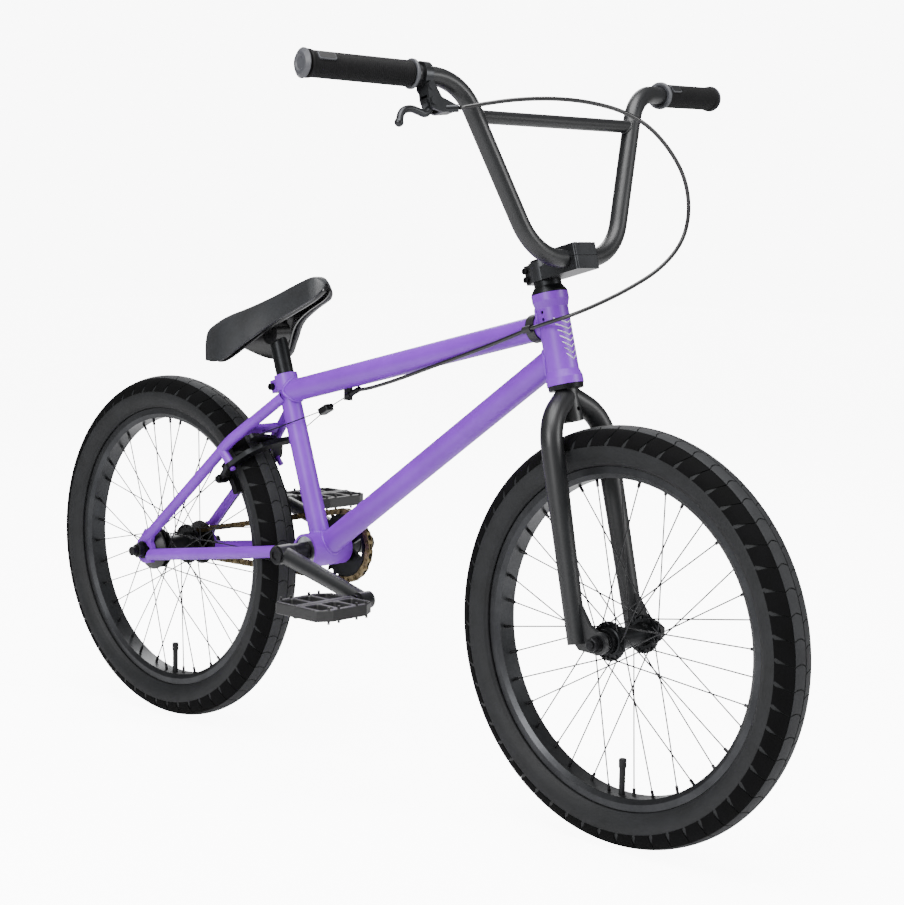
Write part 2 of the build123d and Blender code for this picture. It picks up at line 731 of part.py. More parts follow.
arms = []
spindle_cut = rod(BOTTOM_BRACKET - LEFT * 90, BOTTOM_BRACKET + LEFT * 90, BB_SPINDLE_RADIUS + FIT)
for side in SIDES:
    out = LEFT * side
    hub = BOTTOM_BRACKET + out * CRANK_ARM_Y
    eye = pedal_centre(side)
    way = crank_direction(side)
    solids = [
        rod(BOTTOM_BRACKET + out * ARM_BOSS_INNER, BOTTOM_BRACKET + out * ARM_BOSS_OUTER, ARM_BOSS_RADIUS),
        cone(hub, eye, 12.0, 10.5),
        rod(eye - out * 9.5, eye + out * 11, PEDAL_BOSS_RADIUS),
    ]
    cutters = [spindle_cut, rod(eye - out * 20, eye + out * 20, PEDAL_SPINDLE_RADIUS + 2 + FIT)]
    cutters.append(cone(hub + way * 20, eye - way * 18, 10.2, 8.8))
    if side > 0:
        lug = BOTTOM_BRACKET + bolt_direction * SPROCKET_BOLT_REACH
        solids.append(rod(lug + LEFT * 45.1, lug + LEFT * 70, 7))
        cutters.append(rod(lug + LEFT * 40, lug + LEFT * 58, 4.05))
    arms.append(joined(solids, cutters))
write("crank_arms", separate(arms))

crank_bolts = []
for side in SIDES:
    out = LEFT * side
    face = BOTTOM_BRACKET + out * ARM_BOSS_OUTER
    crank_bolts.append(cap_screw(face, out * -1, 5.9, 16, 11.5, 3.0))
sprocket_screw_head = sprocket_bolt_centre + LEFT * (CHAIN_LINE - SPROCKET_BODY / 2)
crank_bolts.append(cap_screw(sprocket_screw_head, LEFT, 4.0, 18, 5.5, 2.5))
write("crank_bolts", separate(crank_bolts))

# ---------------------------------------------------------------- pedals

PEDAL_INNER = 96.0
PEDAL_WIDTH = 98.0
PEDAL_LENGTH = 100.0
PEDAL_THICKNESS = 15.0
PEDAL_BARREL_RADIUS = 8.5
PIN_HEIGHT = 3.6
PIN_RADIUS = 1.7

spindles = []
for side in SIDES:
    out = LEFT * side
    eye = pedal_centre(side)
    inner = Vector(eye.X, side * PEDAL_INNER, eye.Z)
    thread = rod(eye - out * 9.5, inner - out * 1, PEDAL_SPINDLE_RADIUS + 2)
    flange = rod(inner - out * 11.5, inner - out * 5, 9.0)
    journal = rod(inner - out * 1, inner + out * (PEDAL_WIDTH - 8), PEDAL_SPINDLE_RADIUS)
    spindles.append(joined([thread, flange, journal]))
write("pedal_spindles", separate(spindles))


def pedal(side):
    """A platform pedal: an open frame round its barrel, with grip pins on both faces."""
    eye = pedal_centre(side)
    middle = Vector(eye.X, side * (PEDAL_INNER + PEDAL_WIDTH / 2), eye.Z)
    plane = Plane(origin=middle, x_dir=(1, 0, 0), z_dir=(0, 0, 1))
    half_long = PEDAL_LENGTH / 2
    half_wide = PEDAL_WIDTH / 2
    nose = 20.0
    with BuildPart() as frame:
        with BuildSketch(plane.offset(-PEDAL_THICKNESS / 2)):
            with BuildLine():
                FilletPolyline(
                    (-half_long, -half_wide + nose),
                    (-half_long + 12, -half_wide),
                    (half_long - 12, -half_wide),
                    (half_long, -half_wide + nose),
                    (half_long, half_wide - nose),
                    (half_long - 12, half_wide),
                    (-half_long + 12, half_wide),
                    (-half_long, half_wide - nose),
                    radius=5,
                    close=True,
                )
            make_face()
            with GridLocations(49, 30, 2, 3):
                RectangleRounded(32, 23, 3, mode=Mode.SUBTRACT)
        extrude(amount=PEDAL_THICKNESS)
        chamfer(frame.faces().group_by(Axis.Z)[-1].edges() + frame.faces().group_by(Axis.Z)[0].edges(), 1.0)
    with BuildPart() as grip_pins:
        for x_side in SIDES:
            for y_place in (-33, -15.5, 15.5, 33):
                for z_side in SIDES:
                    with BuildSketch(plane.offset(z_side * (PEDAL_THICKNESS / 2 - 1))):
                        with Locations((x_side * (half_long - 4.5), y_place)):
                            Circle(PIN_RADIUS)
                    extrude(amount=z_side * (PIN_HEIGHT + 1))
    barrel_start = Vector(eye.X, side * PEDAL_INNER, eye.Z)
    barrel_end = barrel_start + LEFT * (side * PEDAL_WIDTH)
    return joined(
        [frame.part, grip_pins.part, rod(barrel_start, barrel_end, PEDAL_BARREL_RADIUS)],
        [rod(barrel_start - LEFT * (side * 5), barrel_end - LEFT * (side * 7), PEDAL_SPINDLE_RADIUS + FIT)],
    )


write("right_pedal", pedal(-1))
write("left_pedal", pedal(1))

# ---------------------------------------------------------------- wheels

RIM_EDGE = 208.5
RIM_BED = 203.0
RIM_INNER = 194.0
RIM_HALF_WIDTH = 17.0
TYRE_CENTRE = 229.5
TYRE_HALF_WIDTH = 30.5
TYRE_WALL = 3.2
BEAD_RADIUS = RIM_BED + 0.1
SPOKE_END = 197.0
SPOKE_OFFSET = 2.5
NIPPLE_LENGTH = 12.0
NIPPLE_RADIUS = 2.0
BEND_CLEARANCE = 2.5
FLANGE_THICKNESS = 3.2
CROSS_ANGLE = 60.0
VALVE_RADIUS = 4.0
VALVE_TIP = 160.0

RIM_SECTION = [
    (RIM_EDGE, RIM_HALF_WIDTH),
    (RIM_EDGE, 15),
    (RIM_BED, 15),
    (RIM_BED, 9),
    (RIM_BED - 1, 7),
    (RIM_BED - 1, -7),
    (RIM_BED, -9),
    (RIM_BED, -15),
    (RIM_EDGE, -15),
    (RIM_EDGE, -RIM_HALF_WIDTH),
    (200, -RIM_HALF_WIDTH),
    (RIM_INNER, -13),
    (RIM_INNER, 13),
    (200, RIM_HALF_WIDTH),
]
RIM_HOLLOW = [(195.6, 11.5), (195.6, -11.5), (200.4, -14.6), (200.4, 14.6)]
BEAD_SECTION = [
    (BEAD_RADIUS, 11.5), (BEAD_RADIUS, 14.85), (209.2, 14.85), (209.2, 19.5), (214, 23), (212, 16.4)
]


def on_wheel(centre, radius, angle, y):
    """A place on a wheel, its angle rising from +X towards +Z."""
    return Vector(centre.X + radius * cos(radians(angle)), y, centre.Z + radius * sin(radians(angle)))


def tyre(centre):
    """A hollow casing with two beads that sit on the rim's bed."""
    plane = Plane(origin=centre, x_dir=(1, 0, 0), z_dir=(0, 0, -1))
    crown = TYRE_RADIUS - TYRE_CENTRE
    with BuildPart() as casing:
        with BuildSketch(plane):
            with Locations((TYRE_CENTRE, 0)):
                Ellipse(crown, TYRE_HALF_WIDTH)
                Ellipse(crown - TYRE_WALL, TYRE_HALF_WIDTH - TYRE_WALL, mode=Mode.SUBTRACT)
            with Locations((190, 0)):
                Rectangle(2 * (209.2 - 190), 80, mode=Mode.SUBTRACT)
            for side in SIDES:
                with BuildLine():
                    Polyline(*[(radius, side * y) for radius, y in BEAD_SECTION], close=True)
                make_face()
        revolve(axis=Axis(centre, (0, 1, 0)))
    return casing.part


def inner_tube(centre):
    """The thin tube inside the tyre, with its valve stem through the rim and a cap on it."""
    plane = Plane(origin=centre, x_dir=(1, 0, 0), z_dir=(0, 0, -1))
    with BuildPart() as ring:
        with BuildSketch(plane):
            with Locations((TYRE_CENTRE, 0)):
                Ellipse(22, 24.5)
                Ellipse(21, 23.5, mode=Mode.SUBTRACT)
        revolve(axis=Axis(centre, (0, 1, 0)))
    down = Vector(0, 0, -1)
    stem = rod(centre + down * 208.2, centre + down * (VALVE_TIP + 2), VALVE_RADIUS)
    cap = turned(
        [(0, 0), (4.2, 0), (4.9, 2), (4.9, 11), (4.0, 12), (0, 12)],
        centre + down * (VALVE_TIP + 1.8),
        (0, 0, 1),
    )
    return separate([joined([ring.part, stem]), cap])


def spoke_lines(centre, flange_radius, flange_centres):
    """For each spoke: the hub hole, the side that its bend is on, and the nipple's end."""
    lines = []
    for side, flange_y in flange_centres:
        shift = 5.0 if side < 0 else 15.0
        for index in range(SPOKE_COUNT // 4):
            for outside, hole_turn, rim_turn in ((1, 0.0, CROSS_ANGLE), (-1, 20.0, 20.0 - CROSS_ANGLE)):
                hole_angle = 40 * index + hole_turn + shift
                rim_angle = 40 * index + rim_turn + shift
                bend_y = flange_y + side * outside * (FLANGE_THICKNESS / 2 + BEND_CLEARANCE)
                head_y = flange_y - side * outside * (FLANGE_THICKNESS / 2 + 0.2)
                head = on_wheel(centre, flange_radius, hole_angle, head_y)
                bend = on_wheel(centre, flange_radius, hole_angle, bend_y)
                end = on_wheel(centre, SPOKE_END, rim_angle, side * SPOKE_OFFSET)
                lines.append((head, bend, end))
    return lines


def spokes(lines):
    """Every spoke with its bend and head, and the nipple at its other end."""
    pieces = []
    for head, bend, end in lines:
        wire = bent([head, bend, end], 1.8, SPOKE_RADIUS)
        outward = (head - bend).normalized()
        button = rod(head, head + outward * 1.2, 1.9)
        pieces.append(joined([wire, button]))
        way = (end - bend).normalized()
        pieces.append(rod(end - way * NIPPLE_LENGTH, end, NIPPLE_RADIUS, SPOKE_RADIUS + FIT))
    return separate(pieces)


def rim(centre, lines):
    """A double wall rim with a hole for each nipple and one for the valve."""
    hoop = turned(RIM_SECTION, centre, (0, 1, 0))
    hollow = turned(RIM_HOLLOW, centre, (0, 1, 0))
    holes = []
    for head, bend, end in lines:
        way = (end - bend).normalized()
        holes.append(rod(end - way * 8, end + way * 2, NIPPLE_RADIUS + 0.15))
    down = Vector(0, 0, -1)
    holes.append(rod(centre + down * 150, centre + down * 206, VALVE_RADIUS + 0.15))
    return joined([hoop], [hollow] + holes)


def hub(centre, lines, profile):
    """A turned hub shell, drilled for its spokes."""
    shell = turned(profile, centre, (0, 1, 0))
    holes = []
    for head, bend, end in lines:
        across = (bend - head).normalized()
        holes.append(rod(head - across * 1, bend + across * 1, SPOKE_RADIUS + 0.25))
    return joined([shell], holes)


def hub_profile(left_end, right_end, flanges, flange_edge, barrel, bearing, bore):
    """The hub's section: two flanges on a barrel, with a seat for a bearing in each end."""
    half = FLANGE_THICKNESS / 2
    low, high = flanges
    return [
        (bearing, right_end),
        (bearing + 3.2, right_end),
        (barrel + 2.5, low - half - 1),
        (barrel + 4, low - half),
        (flange_edge, low - half),
        (flange_edge, low + half),
        (barrel + 2, low + half),
        (barrel, low + half + 5),
        (barrel, high - half - 5),
        (barrel + 2, high - half),
        (flange_edge, high - half),
        (flange_edge, high + half),
        (barrel + 4, high + half),
        (barrel + 2.5, high + half + 1),
        (bearing + 3.2, left_end),
        (bearing, left_end),
        (bearing, left_end - 8.5),
        (bore, left_end - 8.5),
        (bore, right_end + 8.5),
        (bearing, right_end + 8.5),
    ]


WHEELS = {
    "front": {
        "centre": FRONT_AXLE,
        "flange_radius": 20.5,
        "flange_edge": 24.0,
        "flanges": (-32.0, 32.0),
        "ends": (-43.0, 43.0),
        "barrel": 13.0,
        "bearing": 12.0,
        "axle": FRONT_AXLE_RADIUS,
    },
    "rear": {
        "centre": REAR_AXLE,
        "flange_radius": 26.0,
        "flange_edge": 29.5,
        "flanges": (-30.0, 23.0),
        "ends": (-40.5, 32.5),
        "barrel": 16.0,
        "bearing": 14.0,
        "axle": REAR_AXLE_RADIUS,
    },
}

for name, wheel in WHEELS.items():
    centre = wheel["centre"]
    low_end, high_end = wheel["ends"]
    flange_centres = [(-1, wheel["flanges"][0]), (1, wheel["flanges"][1])]
    lines = spoke_lines(centre, wheel["flange_radius"], flange_centres)
    bore = wheel["axle"] + 1.5
    profile = hub_profile(
        high_end, low_end, wheel["flanges"], wheel["flange_edge"], wheel["barrel"], wheel["bearing"], bore
    )
    write(f"{name}_tyre", tyre(centre))
    write(f"{name}_tube", inner_tube(centre))
    write(f"{name}_rim", rim(centre, lines))
    write(f"{name}_spokes", spokes(lines))
    write(f"{name}_hub", hub(centre, lines, profile))
    hub_bearings = []
    for start in (low_end + 0.5, high_end - 8.3):
        hub_bearings.append(
            rod(
                centre + LEFT * start,
                centre + LEFT * (start + 7.8),
                wheel["bearing"] - FIT,
                wheel["axle"] + FIT,
            )
        )
    write(f"{name}_hub_bearings", separate(hub_bearings))

# ---------------------------------------------------------------- fork

FORK_FOOT = -46.0
STEERER_TOP = 152.0
LEG_START = (333, 4, 541)
LEG_KNEE = (347, 50, 514)
LEG_TAPER_START = 0.3
LEG_END = (404.8, 55.2, 252)
LEG_TOP_RADIUS = 13.9
LEG_END_RADIUS = 12.0
LEG_WALL = 1.6
FORK_TIP_INNER = FRONT_HUB_WIDTH / 2
FORK_TIP_OUTER = FORK_TIP_INNER + 6.0
CROWN_HOLE_HEIGHT = -32.0
CROWN_HOLE_RADIUS = 3.0

stem_plane = Plane(origin=HEAD_BOTTOM, x_dir=STEM_FORWARD, z_dir=HEAD_UP)
steerer_bar = rod(HEAD_BOTTOM + HEAD_UP * FORK_FOOT, HEAD_BOTTOM + HEAD_UP * STEERER_TOP, STEERER_RADIUS)
crown_hole = HEAD_BOTTOM + HEAD_UP * CROWN_HOLE_HEIGHT
fork_steerer = joined(
    [steerer_bar],
    [
        rod(
            HEAD_BOTTOM + HEAD_UP * (FORK_FOOT - 5),
            HEAD_BOTTOM + HEAD_UP * (STEERER_TOP + 5),
            STEERER_RADIUS - 2,
        ),
        rod(crown_hole, crown_hole + STEM_FORWARD * 30, CROWN_HOLE_RADIUS),
    ],
)
write("fork_steerer", fork_steerer)

steerer_fill = [
    rod(HEAD_BOTTOM + HEAD_UP * (FORK_FOOT - 10), HEAD_BOTTOM + HEAD_UP * 20, STEERER_RADIUS + FIT),
    rod(HEAD_BOTTOM + HEAD_UP * -6.2, HEAD_BOTTOM + HEAD_UP * 20, 30),
]
legs = []
for side in SIDES:
    knee = mirrored(LEG_KNEE, side)
    foot = mirrored(LEG_END, side)
    taper_start = knee + (foot - knee) * LEG_TAPER_START
    upper = [mirrored(LEG_START, side), knee, taper_start]
    top_part = bent(upper, 56, LEG_TOP_RADIUS)
    top_hollow = bent(upper, 56, LEG_TOP_RADIUS - LEG_WALL)
    low_part = cone(taper_start, foot, LEG_TOP_RADIUS, LEG_END_RADIUS)
    hollow_end = foot - (foot - knee).normalized() * 20
    low_hollow = cone(taper_start, hollow_end, LEG_TOP_RADIUS - LEG_WALL, LEG_END_RADIUS - LEG_WALL)
    tip_plane = Plane(
        origin=FRONT_AXLE + LEFT * (side * FORK_TIP_INNER), x_dir=(1, 0, 0), z_dir=(0, side, 0)
    )
    up = -side
    with BuildPart() as tip:
        with BuildSketch(tip_plane):
            Circle(14)
            with BuildLine():
                Polyline(
                    (-34, -6 * up),
                    (-30, 46 * up),
                    (-12, 20 * up),
                    (0, 13.5 * up),
                    (0, -13.5 * up),
                    (-28, -12 * up),
                    close=True,
                )
            make_face()
            Circle(FRONT_AXLE_RADIUS + 0.1, mode=Mode.SUBTRACT)
        extrude(amount=FORK_TIP_OUTER - FORK_TIP_INNER)
    legs.append(joined([top_part, low_part, tip.part], [top_hollow, low_hollow, *steerer_fill]))
write("fork_legs", separate(legs))
write(
    "front_axle",
    axle_set(FRONT_AXLE, FRONT_AXLE_RADIUS, FRONT_AXLE_REACH, FORK_TIP_INNER, FORK_TIP_OUTER, 15, 9),
)

# ---------------------------------------------------------------- headset rings, spacer and stem


def head_turned_at(profile):
    """A turned ring on the steering axis, its heights measured from the head tube's foot."""
    return turned(profile, HEAD_BOTTOM, HEAD_UP)


RING_BORE = STEERER_RADIUS + FIT
RING_EDGE = HEAD_BEARING_BORE - FIT
headset_rings = [
    head_turned_at(
        [(RING_BORE, -6), (21.5, -6), (22.3, -GAP), (RING_EDGE, -GAP), (RING_EDGE, 7.6), (RING_BORE, 7.6)]
    ),
    head_turned_at(
        [
            (RING_BORE, HEAD_LENGTH - 7),
            (RING_EDGE, HEAD_LENGTH - 7),
            (RING_EDGE, HEAD_LENGTH + GAP),
            (22.6, HEAD_LENGTH + GAP),
            (22.2, HEAD_LENGTH + 2.5),
            (17.5, HEAD_LENGTH + 9.5),
            (RING_BORE, HEAD_LENGTH + 9.5),
        ]
    ),
    head_turned_at(
        [
            (RING_BORE, HEAD_LENGTH + 9.6),
            (17.2, HEAD_LENGTH + 9.6),
            (17.2, STEM_BASE - 0.1),
            (RING_BORE, STEM_BASE - 0.1),
        ]
    ),
]
write("headset_rings", separate(headset_rings))

STEM_WIDTH = 42.0
CLAMP_TOP = 154.0
CLAMP_BOLT_REACH = -23.0
CAP_BOLT_OFFSETS = (-14.8, 14.8)
CAP_TOP = 162.5
bar_hole = rod(BAR_CENTRE - LEFT * 40, BAR_CENTRE + LEFT * 40, BAR_RADIUS + FIT)


def stem_point(forward, y, height):
    """A place on the stem: forward of the steering axis, across, and up it."""
    return HEAD_BOTTOM + STEM_FORWARD * forward + LEFT * y + HEAD_UP * height


stem_cutters = [
    rod(stem_point(0, 0, 120), stem_point(0, 0, 170), STEERER_RADIUS + FIT),
    bar_hole,
    block(stem_plane, (16, 2, 40), (-20, 0, 142)),
]
for height in (136.5, 147.5):
    stem_cutters.append(
        rod(stem_point(CLAMP_BOLT_REACH, -30, height), stem_point(CLAMP_BOLT_REACH, 30, height), 2.6)
    )
cap_bolt_places = [(STEM_REACH + offset, y) for offset in CAP_BOLT_OFFSETS for y in (-13, 13)]
for forward, y in cap_bolt_places:
    stem_cutters.append(rod(stem_point(forward, y, 134), stem_point(forward, y, 170), 2.6))
stem_body = joined(
    [
        rod(stem_point(0, 0, STEM_BASE), stem_point(0, 0, CLAMP_TOP), 20),
        block(stem_plane, (14, 20, 24), (-20, 0, 142), 3),
        block(stem_plane, (61, STEM_WIDTH, 16.25), (38.5, 0, 138.125), 3),
    ],
    stem_cutters,
)
write("stem_body", stem_body)

cap_cutters = [bar_hole]
for forward, y in cap_bolt_places:
    cap_cutters.append(rod(stem_point(forward, y, 140), stem_point(forward, y, 170), 2.6))
    cap_cutters.append(rod(stem_point(forward, y, CAP_TOP - 4), stem_point(forward, y, 170), 4.3))
stem_cap = joined(
    [block(stem_plane, (38, STEM_WIDTH, CAP_TOP - 146.75), (STEM_REACH, 0, (CAP_TOP + 146.75) / 2), 3)],
    cap_cutters,
)
write("stem_cap", stem_cap)

stem_bolts = [
    cap_screw(stem_point(forward, y, CAP_TOP - 4), HEAD_UP * -1, 2.5, 20, 4.2, 3.6)
    for forward, y in cap_bolt_places
]
for height in (136.5, 147.5):
    stem_bolts.append(cap_screw(stem_point(CLAMP_BOLT_REACH, -10, height), LEFT, 2.5, 19, 4.0, 3.5))
top_disc = rod(stem_point(0, 0, CLAMP_TOP + 0.1), stem_point(0, 0, CLAMP_TOP + 3), 17)
top_screw = rod(stem_point(0, 0, STEERER_TOP - 25), stem_point(0, 0, CLAMP_TOP + 1), 3)
stem_bolts.append(joined([top_disc, top_screw]))
write("stem_bolts", separate(stem_bolts))

# ---------------------------------------------------------------- handlebar, grips and plugs

BAR_RIGHT = [(256.8, -370, 921.9), (294.5, -163, 916), (339.4, -73, BAR_CENTRE.Z)]
GRIP_RADIUS = 15.0
GRIP_FLANGE = 17.5
CROSSBAR_RADIUS = 8.0
CROSSBAR_DROP = 0.2058

bar_end = Vector(*BAR_RIGHT[0])
bar_knee = Vector(*BAR_RIGHT[1])
bar_foot = Vector(*BAR_RIGHT[2])
bar_points = [*BAR_RIGHT, *[mirrored(point, -1) for point in reversed(BAR_RIGHT)]]
BAR_BENDS = [62, 72, 72, 62]
bar = bent(bar_points, BAR_BENDS, BAR_RADIUS, BAR_RADIUS - BAR_WALL)
crossbar_end = bar_knee + (bar_foot - bar_knee) * CROSSBAR_DROP
crossbar = joined(
    [rod(crossbar_end, mirrored(crossbar_end, -1), CROSSBAR_RADIUS, CROSSBAR_RADIUS - 1.4)],
    [rod(mirrored(bar_knee, side), mirrored(bar_foot, side), BAR_RADIUS + FIT) for side in SIDES],
)
write("handlebar", separate([bar, crossbar]))

grip_way = (bar_end - bar_knee).normalized()


def on_grip(distance, side):
    """A place on a grip's centre line, its distance measured sideways from the middle of the bike."""
    return mirrored(bar_knee + grip_way * ((distance + bar_knee.Y) / -grip_way.Y), side)


grips = []
plugs = []
for side in (1, -1):
    inner_end = on_grip(GRIP_START, side)
    outer_end = on_grip(GRIP_END, side)
    way = (outer_end - inner_end).normalized()
    grip = joined(
        [
            rod(inner_end, outer_end, GRIP_RADIUS),
            rod(inner_end, inner_end + way * 4, GRIP_FLANGE),
            rod(outer_end - way * 4, outer_end, GRIP_FLANGE),
        ],
        [rod(inner_end - way * 5, outer_end + way * 5, BAR_RADIUS + FIT)],
    )
    grips.append(grip)
    cap_start = on_grip(370.5, side)
    plugs.append(
        turned(
            [(0, -22), (9.2, -22), (9.2, 0), (17, 0), (17, 1.2), (12.5, 4.6), (9, 5), (7, 3.6), (0, 3.6)],
            cap_start,
            way,
        )
    )
write("grips", separate(grips))
write("bar_end_plugs", separate(plugs))

# ---------------------------------------------------------------- brake lever

LEVER_CENTRE = on_grip(213, 1)
LEVER_OUT = LEFT * -1
PIVOT_PLACE = (2.0, -34.0)
LEVER_TUBE = 4.3
LEVER_PATH = [(-2, -38), (10, -48), (32, -41.5), (48, -45), (55, -59)]
LEVER_BENDS = [9, 26, 16]
LOOP_START = (312, -180, 881)


def lever_point(out, up, front):
    """A place near the lever clamp: outwards along the bar, up, and forwards."""
    return LEVER_CENTRE + LEVER_OUT * out + HEAD_UP * up + STEM_FORWARD * front


lever_plane = Plane(origin=lever_point(0, 0, 11), x_dir=LEVER_OUT, z_dir=STEM_FORWARD * -1)
with BuildPart() as perch:
    with BuildSketch(lever_plane):
        with BuildLine():
            Polyline(
                (-6, -12.5),
                (6, -12.5),
                (8, -30),
                (5, -42),
                (-12, -46),
                (-34, -44),
                (-36, -36),
                (-14, -28),
                close=True,
            )
        make_face()
    extrude(amount=16)
lever_pivot_back = lever_point(*PIVOT_PLACE, -6)
lever_pivot_front = lever_point(*PIVOT_PLACE, 11)
clamp_way = grip_way
slot_plane = Plane(origin=lever_point(0, 0, 0), x_dir=LEVER_OUT, z_dir=STEM_FORWARD * -1)
lever_slot = block(slot_plane, (32, 38, 9.6), (7, -45, -3), 2)
barrel_start = lever_point(-18, -40.5, 6)
barrel_end = Vector(*LOOP_START)
barrel_way = (barrel_end - barrel_start).normalized()
bracket_body = joined(
    [
        rod(LEVER_CENTRE - clamp_way * 5, LEVER_CENTRE + clamp_way * 5, 15.5),
        perch.part,
        rod(lever_point(0, -15.5, 12), lever_point(0, -15.5, -9), 5.5),
        rod(barrel_start, barrel_end - barrel_way * 1.0, 4.6),
    ],
    [
        rod(LEVER_CENTRE - clamp_way * 30, LEVER_CENTRE + clamp_way * 30, BAR_RADIUS + FIT),
        lever_slot,
        rod(lever_pivot_back - STEM_FORWARD * 5, lever_pivot_front + STEM_FORWARD * 5, 2.55),
    ],
)
pivot_bolt = joined(
    [
        rod(lever_pivot_back, lever_pivot_front, 2.5),
        rod(lever_pivot_front + STEM_FORWARD * 0.05, lever_pivot_front + STEM_FORWARD * 2.5, 4.5),
    ]
)
write("lever_bracket", separate([bracket_body, pivot_bolt]))

lever_blade = bent([lever_point(out, up, 3) for out, up in LEVER_PATH], LEVER_BENDS, LEVER_TUBE)
lever_boss = rod(lever_point(*PIVOT_PLACE, -1.5), lever_point(*PIVOT_PLACE, 7.5), 7)
with BuildPart() as lever_tip:
    with Locations(lever_point(*LEVER_PATH[-1], 3)):
        Sphere(LEVER_TUBE + 1)
brake_lever = joined(
    [lever_blade, lever_boss, lever_tip.part],
    [rod(lever_point(*PIVOT_PLACE, -10), lever_point(*PIVOT_PLACE, 15), 2.55)],
)
write("brake_lever", brake_lever)

# ---------------------------------------------------------------- brake housing

LOOP_POINTS = [
    LOOP_START,
    (340, -150, 889),
    (362, -120, 893.5),
    (382, -84, 895),
    (399, -47, 892),
    (413, -8, 884),
    (424, 28, 868.5),
    (431, 62, 841),
    (434.5, 89, 808),
    (433, 102, 768),
    (427, 97, 730),
    (415, 70, 698),
    (399, 31, 674.5),
    (379, 0, 656.5),
    (357, -23, 642.5),
    (328, -32, 632.5),
    (300, -23.5, 625.5),
    (282, -19.5, 621),
]
RUN_POINTS = [
    (281.2, -19.5, 620.7),
    (232, -17.6, 602.5),
    (170, -15.2, 582),
    (106, -12.5, 561.5),
    (50, -8.8, 543.5),
    (0, -4, 529.5),
    (-26, -1, 523.5),
    (-41, 0, 521.2),
]
BEND_SHARE = 0.45


def bend_radii(points):
    """Each corner's arc, as large as its two runs allow."""
    places = [Vector(*point) for point in points]
    radii = []
    for before, corner, after in zip(places, places[1:], places[2:]):
        arriving = corner - before
        leaving = after - corner
        turn = radians(arriving.get_angle(leaving))
        radii.append(BEND_SHARE * min(arriving.length, leaving.length) / tan(turn / 2))
    return radii


for node, route in (("cable_loop", LOOP_POINTS), ("brake_housing", RUN_POINTS)):
    radii = bend_radii(route)
    print(node, "bend radii", [round(radius) for radius in radii])
    write(node, bent(route, radii, HOUSING_RADIUS))

# ---------------------------------------------------------------- cable stop and strap

STOP_PLACE = Vector(-62, 0, 511)
HOUSING_END = Vector(*RUN_POINTS[-1])
barrel_direction = (HOUSING_END - STOP_PLACE).normalized()
stop_plane = Plane(origin=(STOP_PLACE.X + 3, 0, 519), x_dir=(1, 0, 0), z_dir=(0, 0, 1))
top_tube_solid = rod(top_tube_point(-178), top_tube_point(306), TOP_TUBE_RADIUS + FIT)
stop_tab = joined(
    [
        block(stop_plane, (13, 6, 26), (0, 0, 0), 1.5),
        rod(STOP_PLACE, STOP_PLACE + barrel_direction * 9, 4.8),
    ],
    [
        top_tube_solid,
        rod(STOP_PLACE - barrel_direction * 20, STOP_PLACE + barrel_direction * 20, 2.6 + FIT),
    ],
)
barrel_tube = joined(
    [
        rod(STOP_PLACE + barrel_direction * 1, HOUSING_END, 2.6),
        rod(STOP_PLACE + barrel_direction * 9.1, HOUSING_END + barrel_direction * 5, 3.9),
    ],
    [
        rod(STOP_PLACE - barrel_direction * 5, HOUSING_END - barrel_direction * 0.1, WIRE_RADIUS + GAP),
        rod(
            HOUSING_END - barrel_direction * 0.1, HOUSING_END + barrel_direction * 10, HOUSING_RADIUS + FIT
        ),
        bent(RUN_POINTS, bend_radii(RUN_POINTS), HOUSING_RADIUS + FIT),
    ],
)
write("cable_stop", separate([stop_tab, barrel_tube]))

STRAP_WIDTH = 13.0
strap_centre = top_tube_point(283)
tube_way = (top_tube_point(306) - top_tube_point(-178)).normalized()
strap_bulge = Vector(*LOOP_POINTS[-1])
strap_ring = joined(
    [
        rod(
            strap_centre - tube_way * (STRAP_WIDTH / 2),
            strap_centre + tube_way * (STRAP_WIDTH / 2),
            TOP_TUBE_RADIUS + 2.2,
        ),
        rod(strap_bulge - tube_way * (STRAP_WIDTH / 2), strap_bulge + tube_way * (STRAP_WIDTH / 2), 4.6),
    ],
    [
        rod(strap_centre - tube_way * 30, strap_centre + tube_way * 30, TOP_TUBE_RADIUS + FIT),
        bent(LOOP_POINTS, bend_radii(LOOP_POINTS), HOUSING_RADIUS + FIT),
        bent(RUN_POINTS, bend_radii(RUN_POINTS), HOUSING_RADIUS + FIT),
        head_solid,
    ],
)
write("cable_strap", strap_ring)

# ---------------------------------------------------------------- rear brake

ARM_STATIONS = [(45, 0, 8.5), (31, 25, 7.5), (14, 40, 6.5), (-10, 48, 5.5), (-34, 52, 5.5)]
PAD_ARM_STATIONS = [(45, 0, 8.5), (42, -31, 6.5)]
PAD_UP = -31.0
PAD_FACE = 20.8
PAD_THICKNESS = 8.0
PAD_LOW = 196.5
PAD_HIGH = 206.0
PAD_ANGLE = 14.0
POST_RADIUS = 3.0
CARRIER_CENTRE = Vector(-104, 0, 489.5)
CARRIER_WAY = Vector(0.882, 0, 0.471).normalized()
WIRE_ANCHOR = (34.0, 52.0)


def linked(stations):
    """A flat arm's outline: a round at each station, joined by straight flanks."""
    for across, up, radius in stations:
        with Locations((across, up)):
            Circle(radius)
    for (x0, y0, r0), (x1, y1, r1) in zip(stations, stations[1:]):
        length = sqrt((x1 - x0) ** 2 + (y1 - y0) ** 2)
        nx = -(y1 - y0) / length
        ny = (x1 - x0) / length
        Polygon(
            (x0 + nx * r0, y0 + ny * r0),
            (x1 + nx * r1, y1 + ny * r1),
            (x1 - nx * r1, y1 - ny * r1),
            (x0 - nx * r0, y0 - ny * r0),
            align=None,
        )


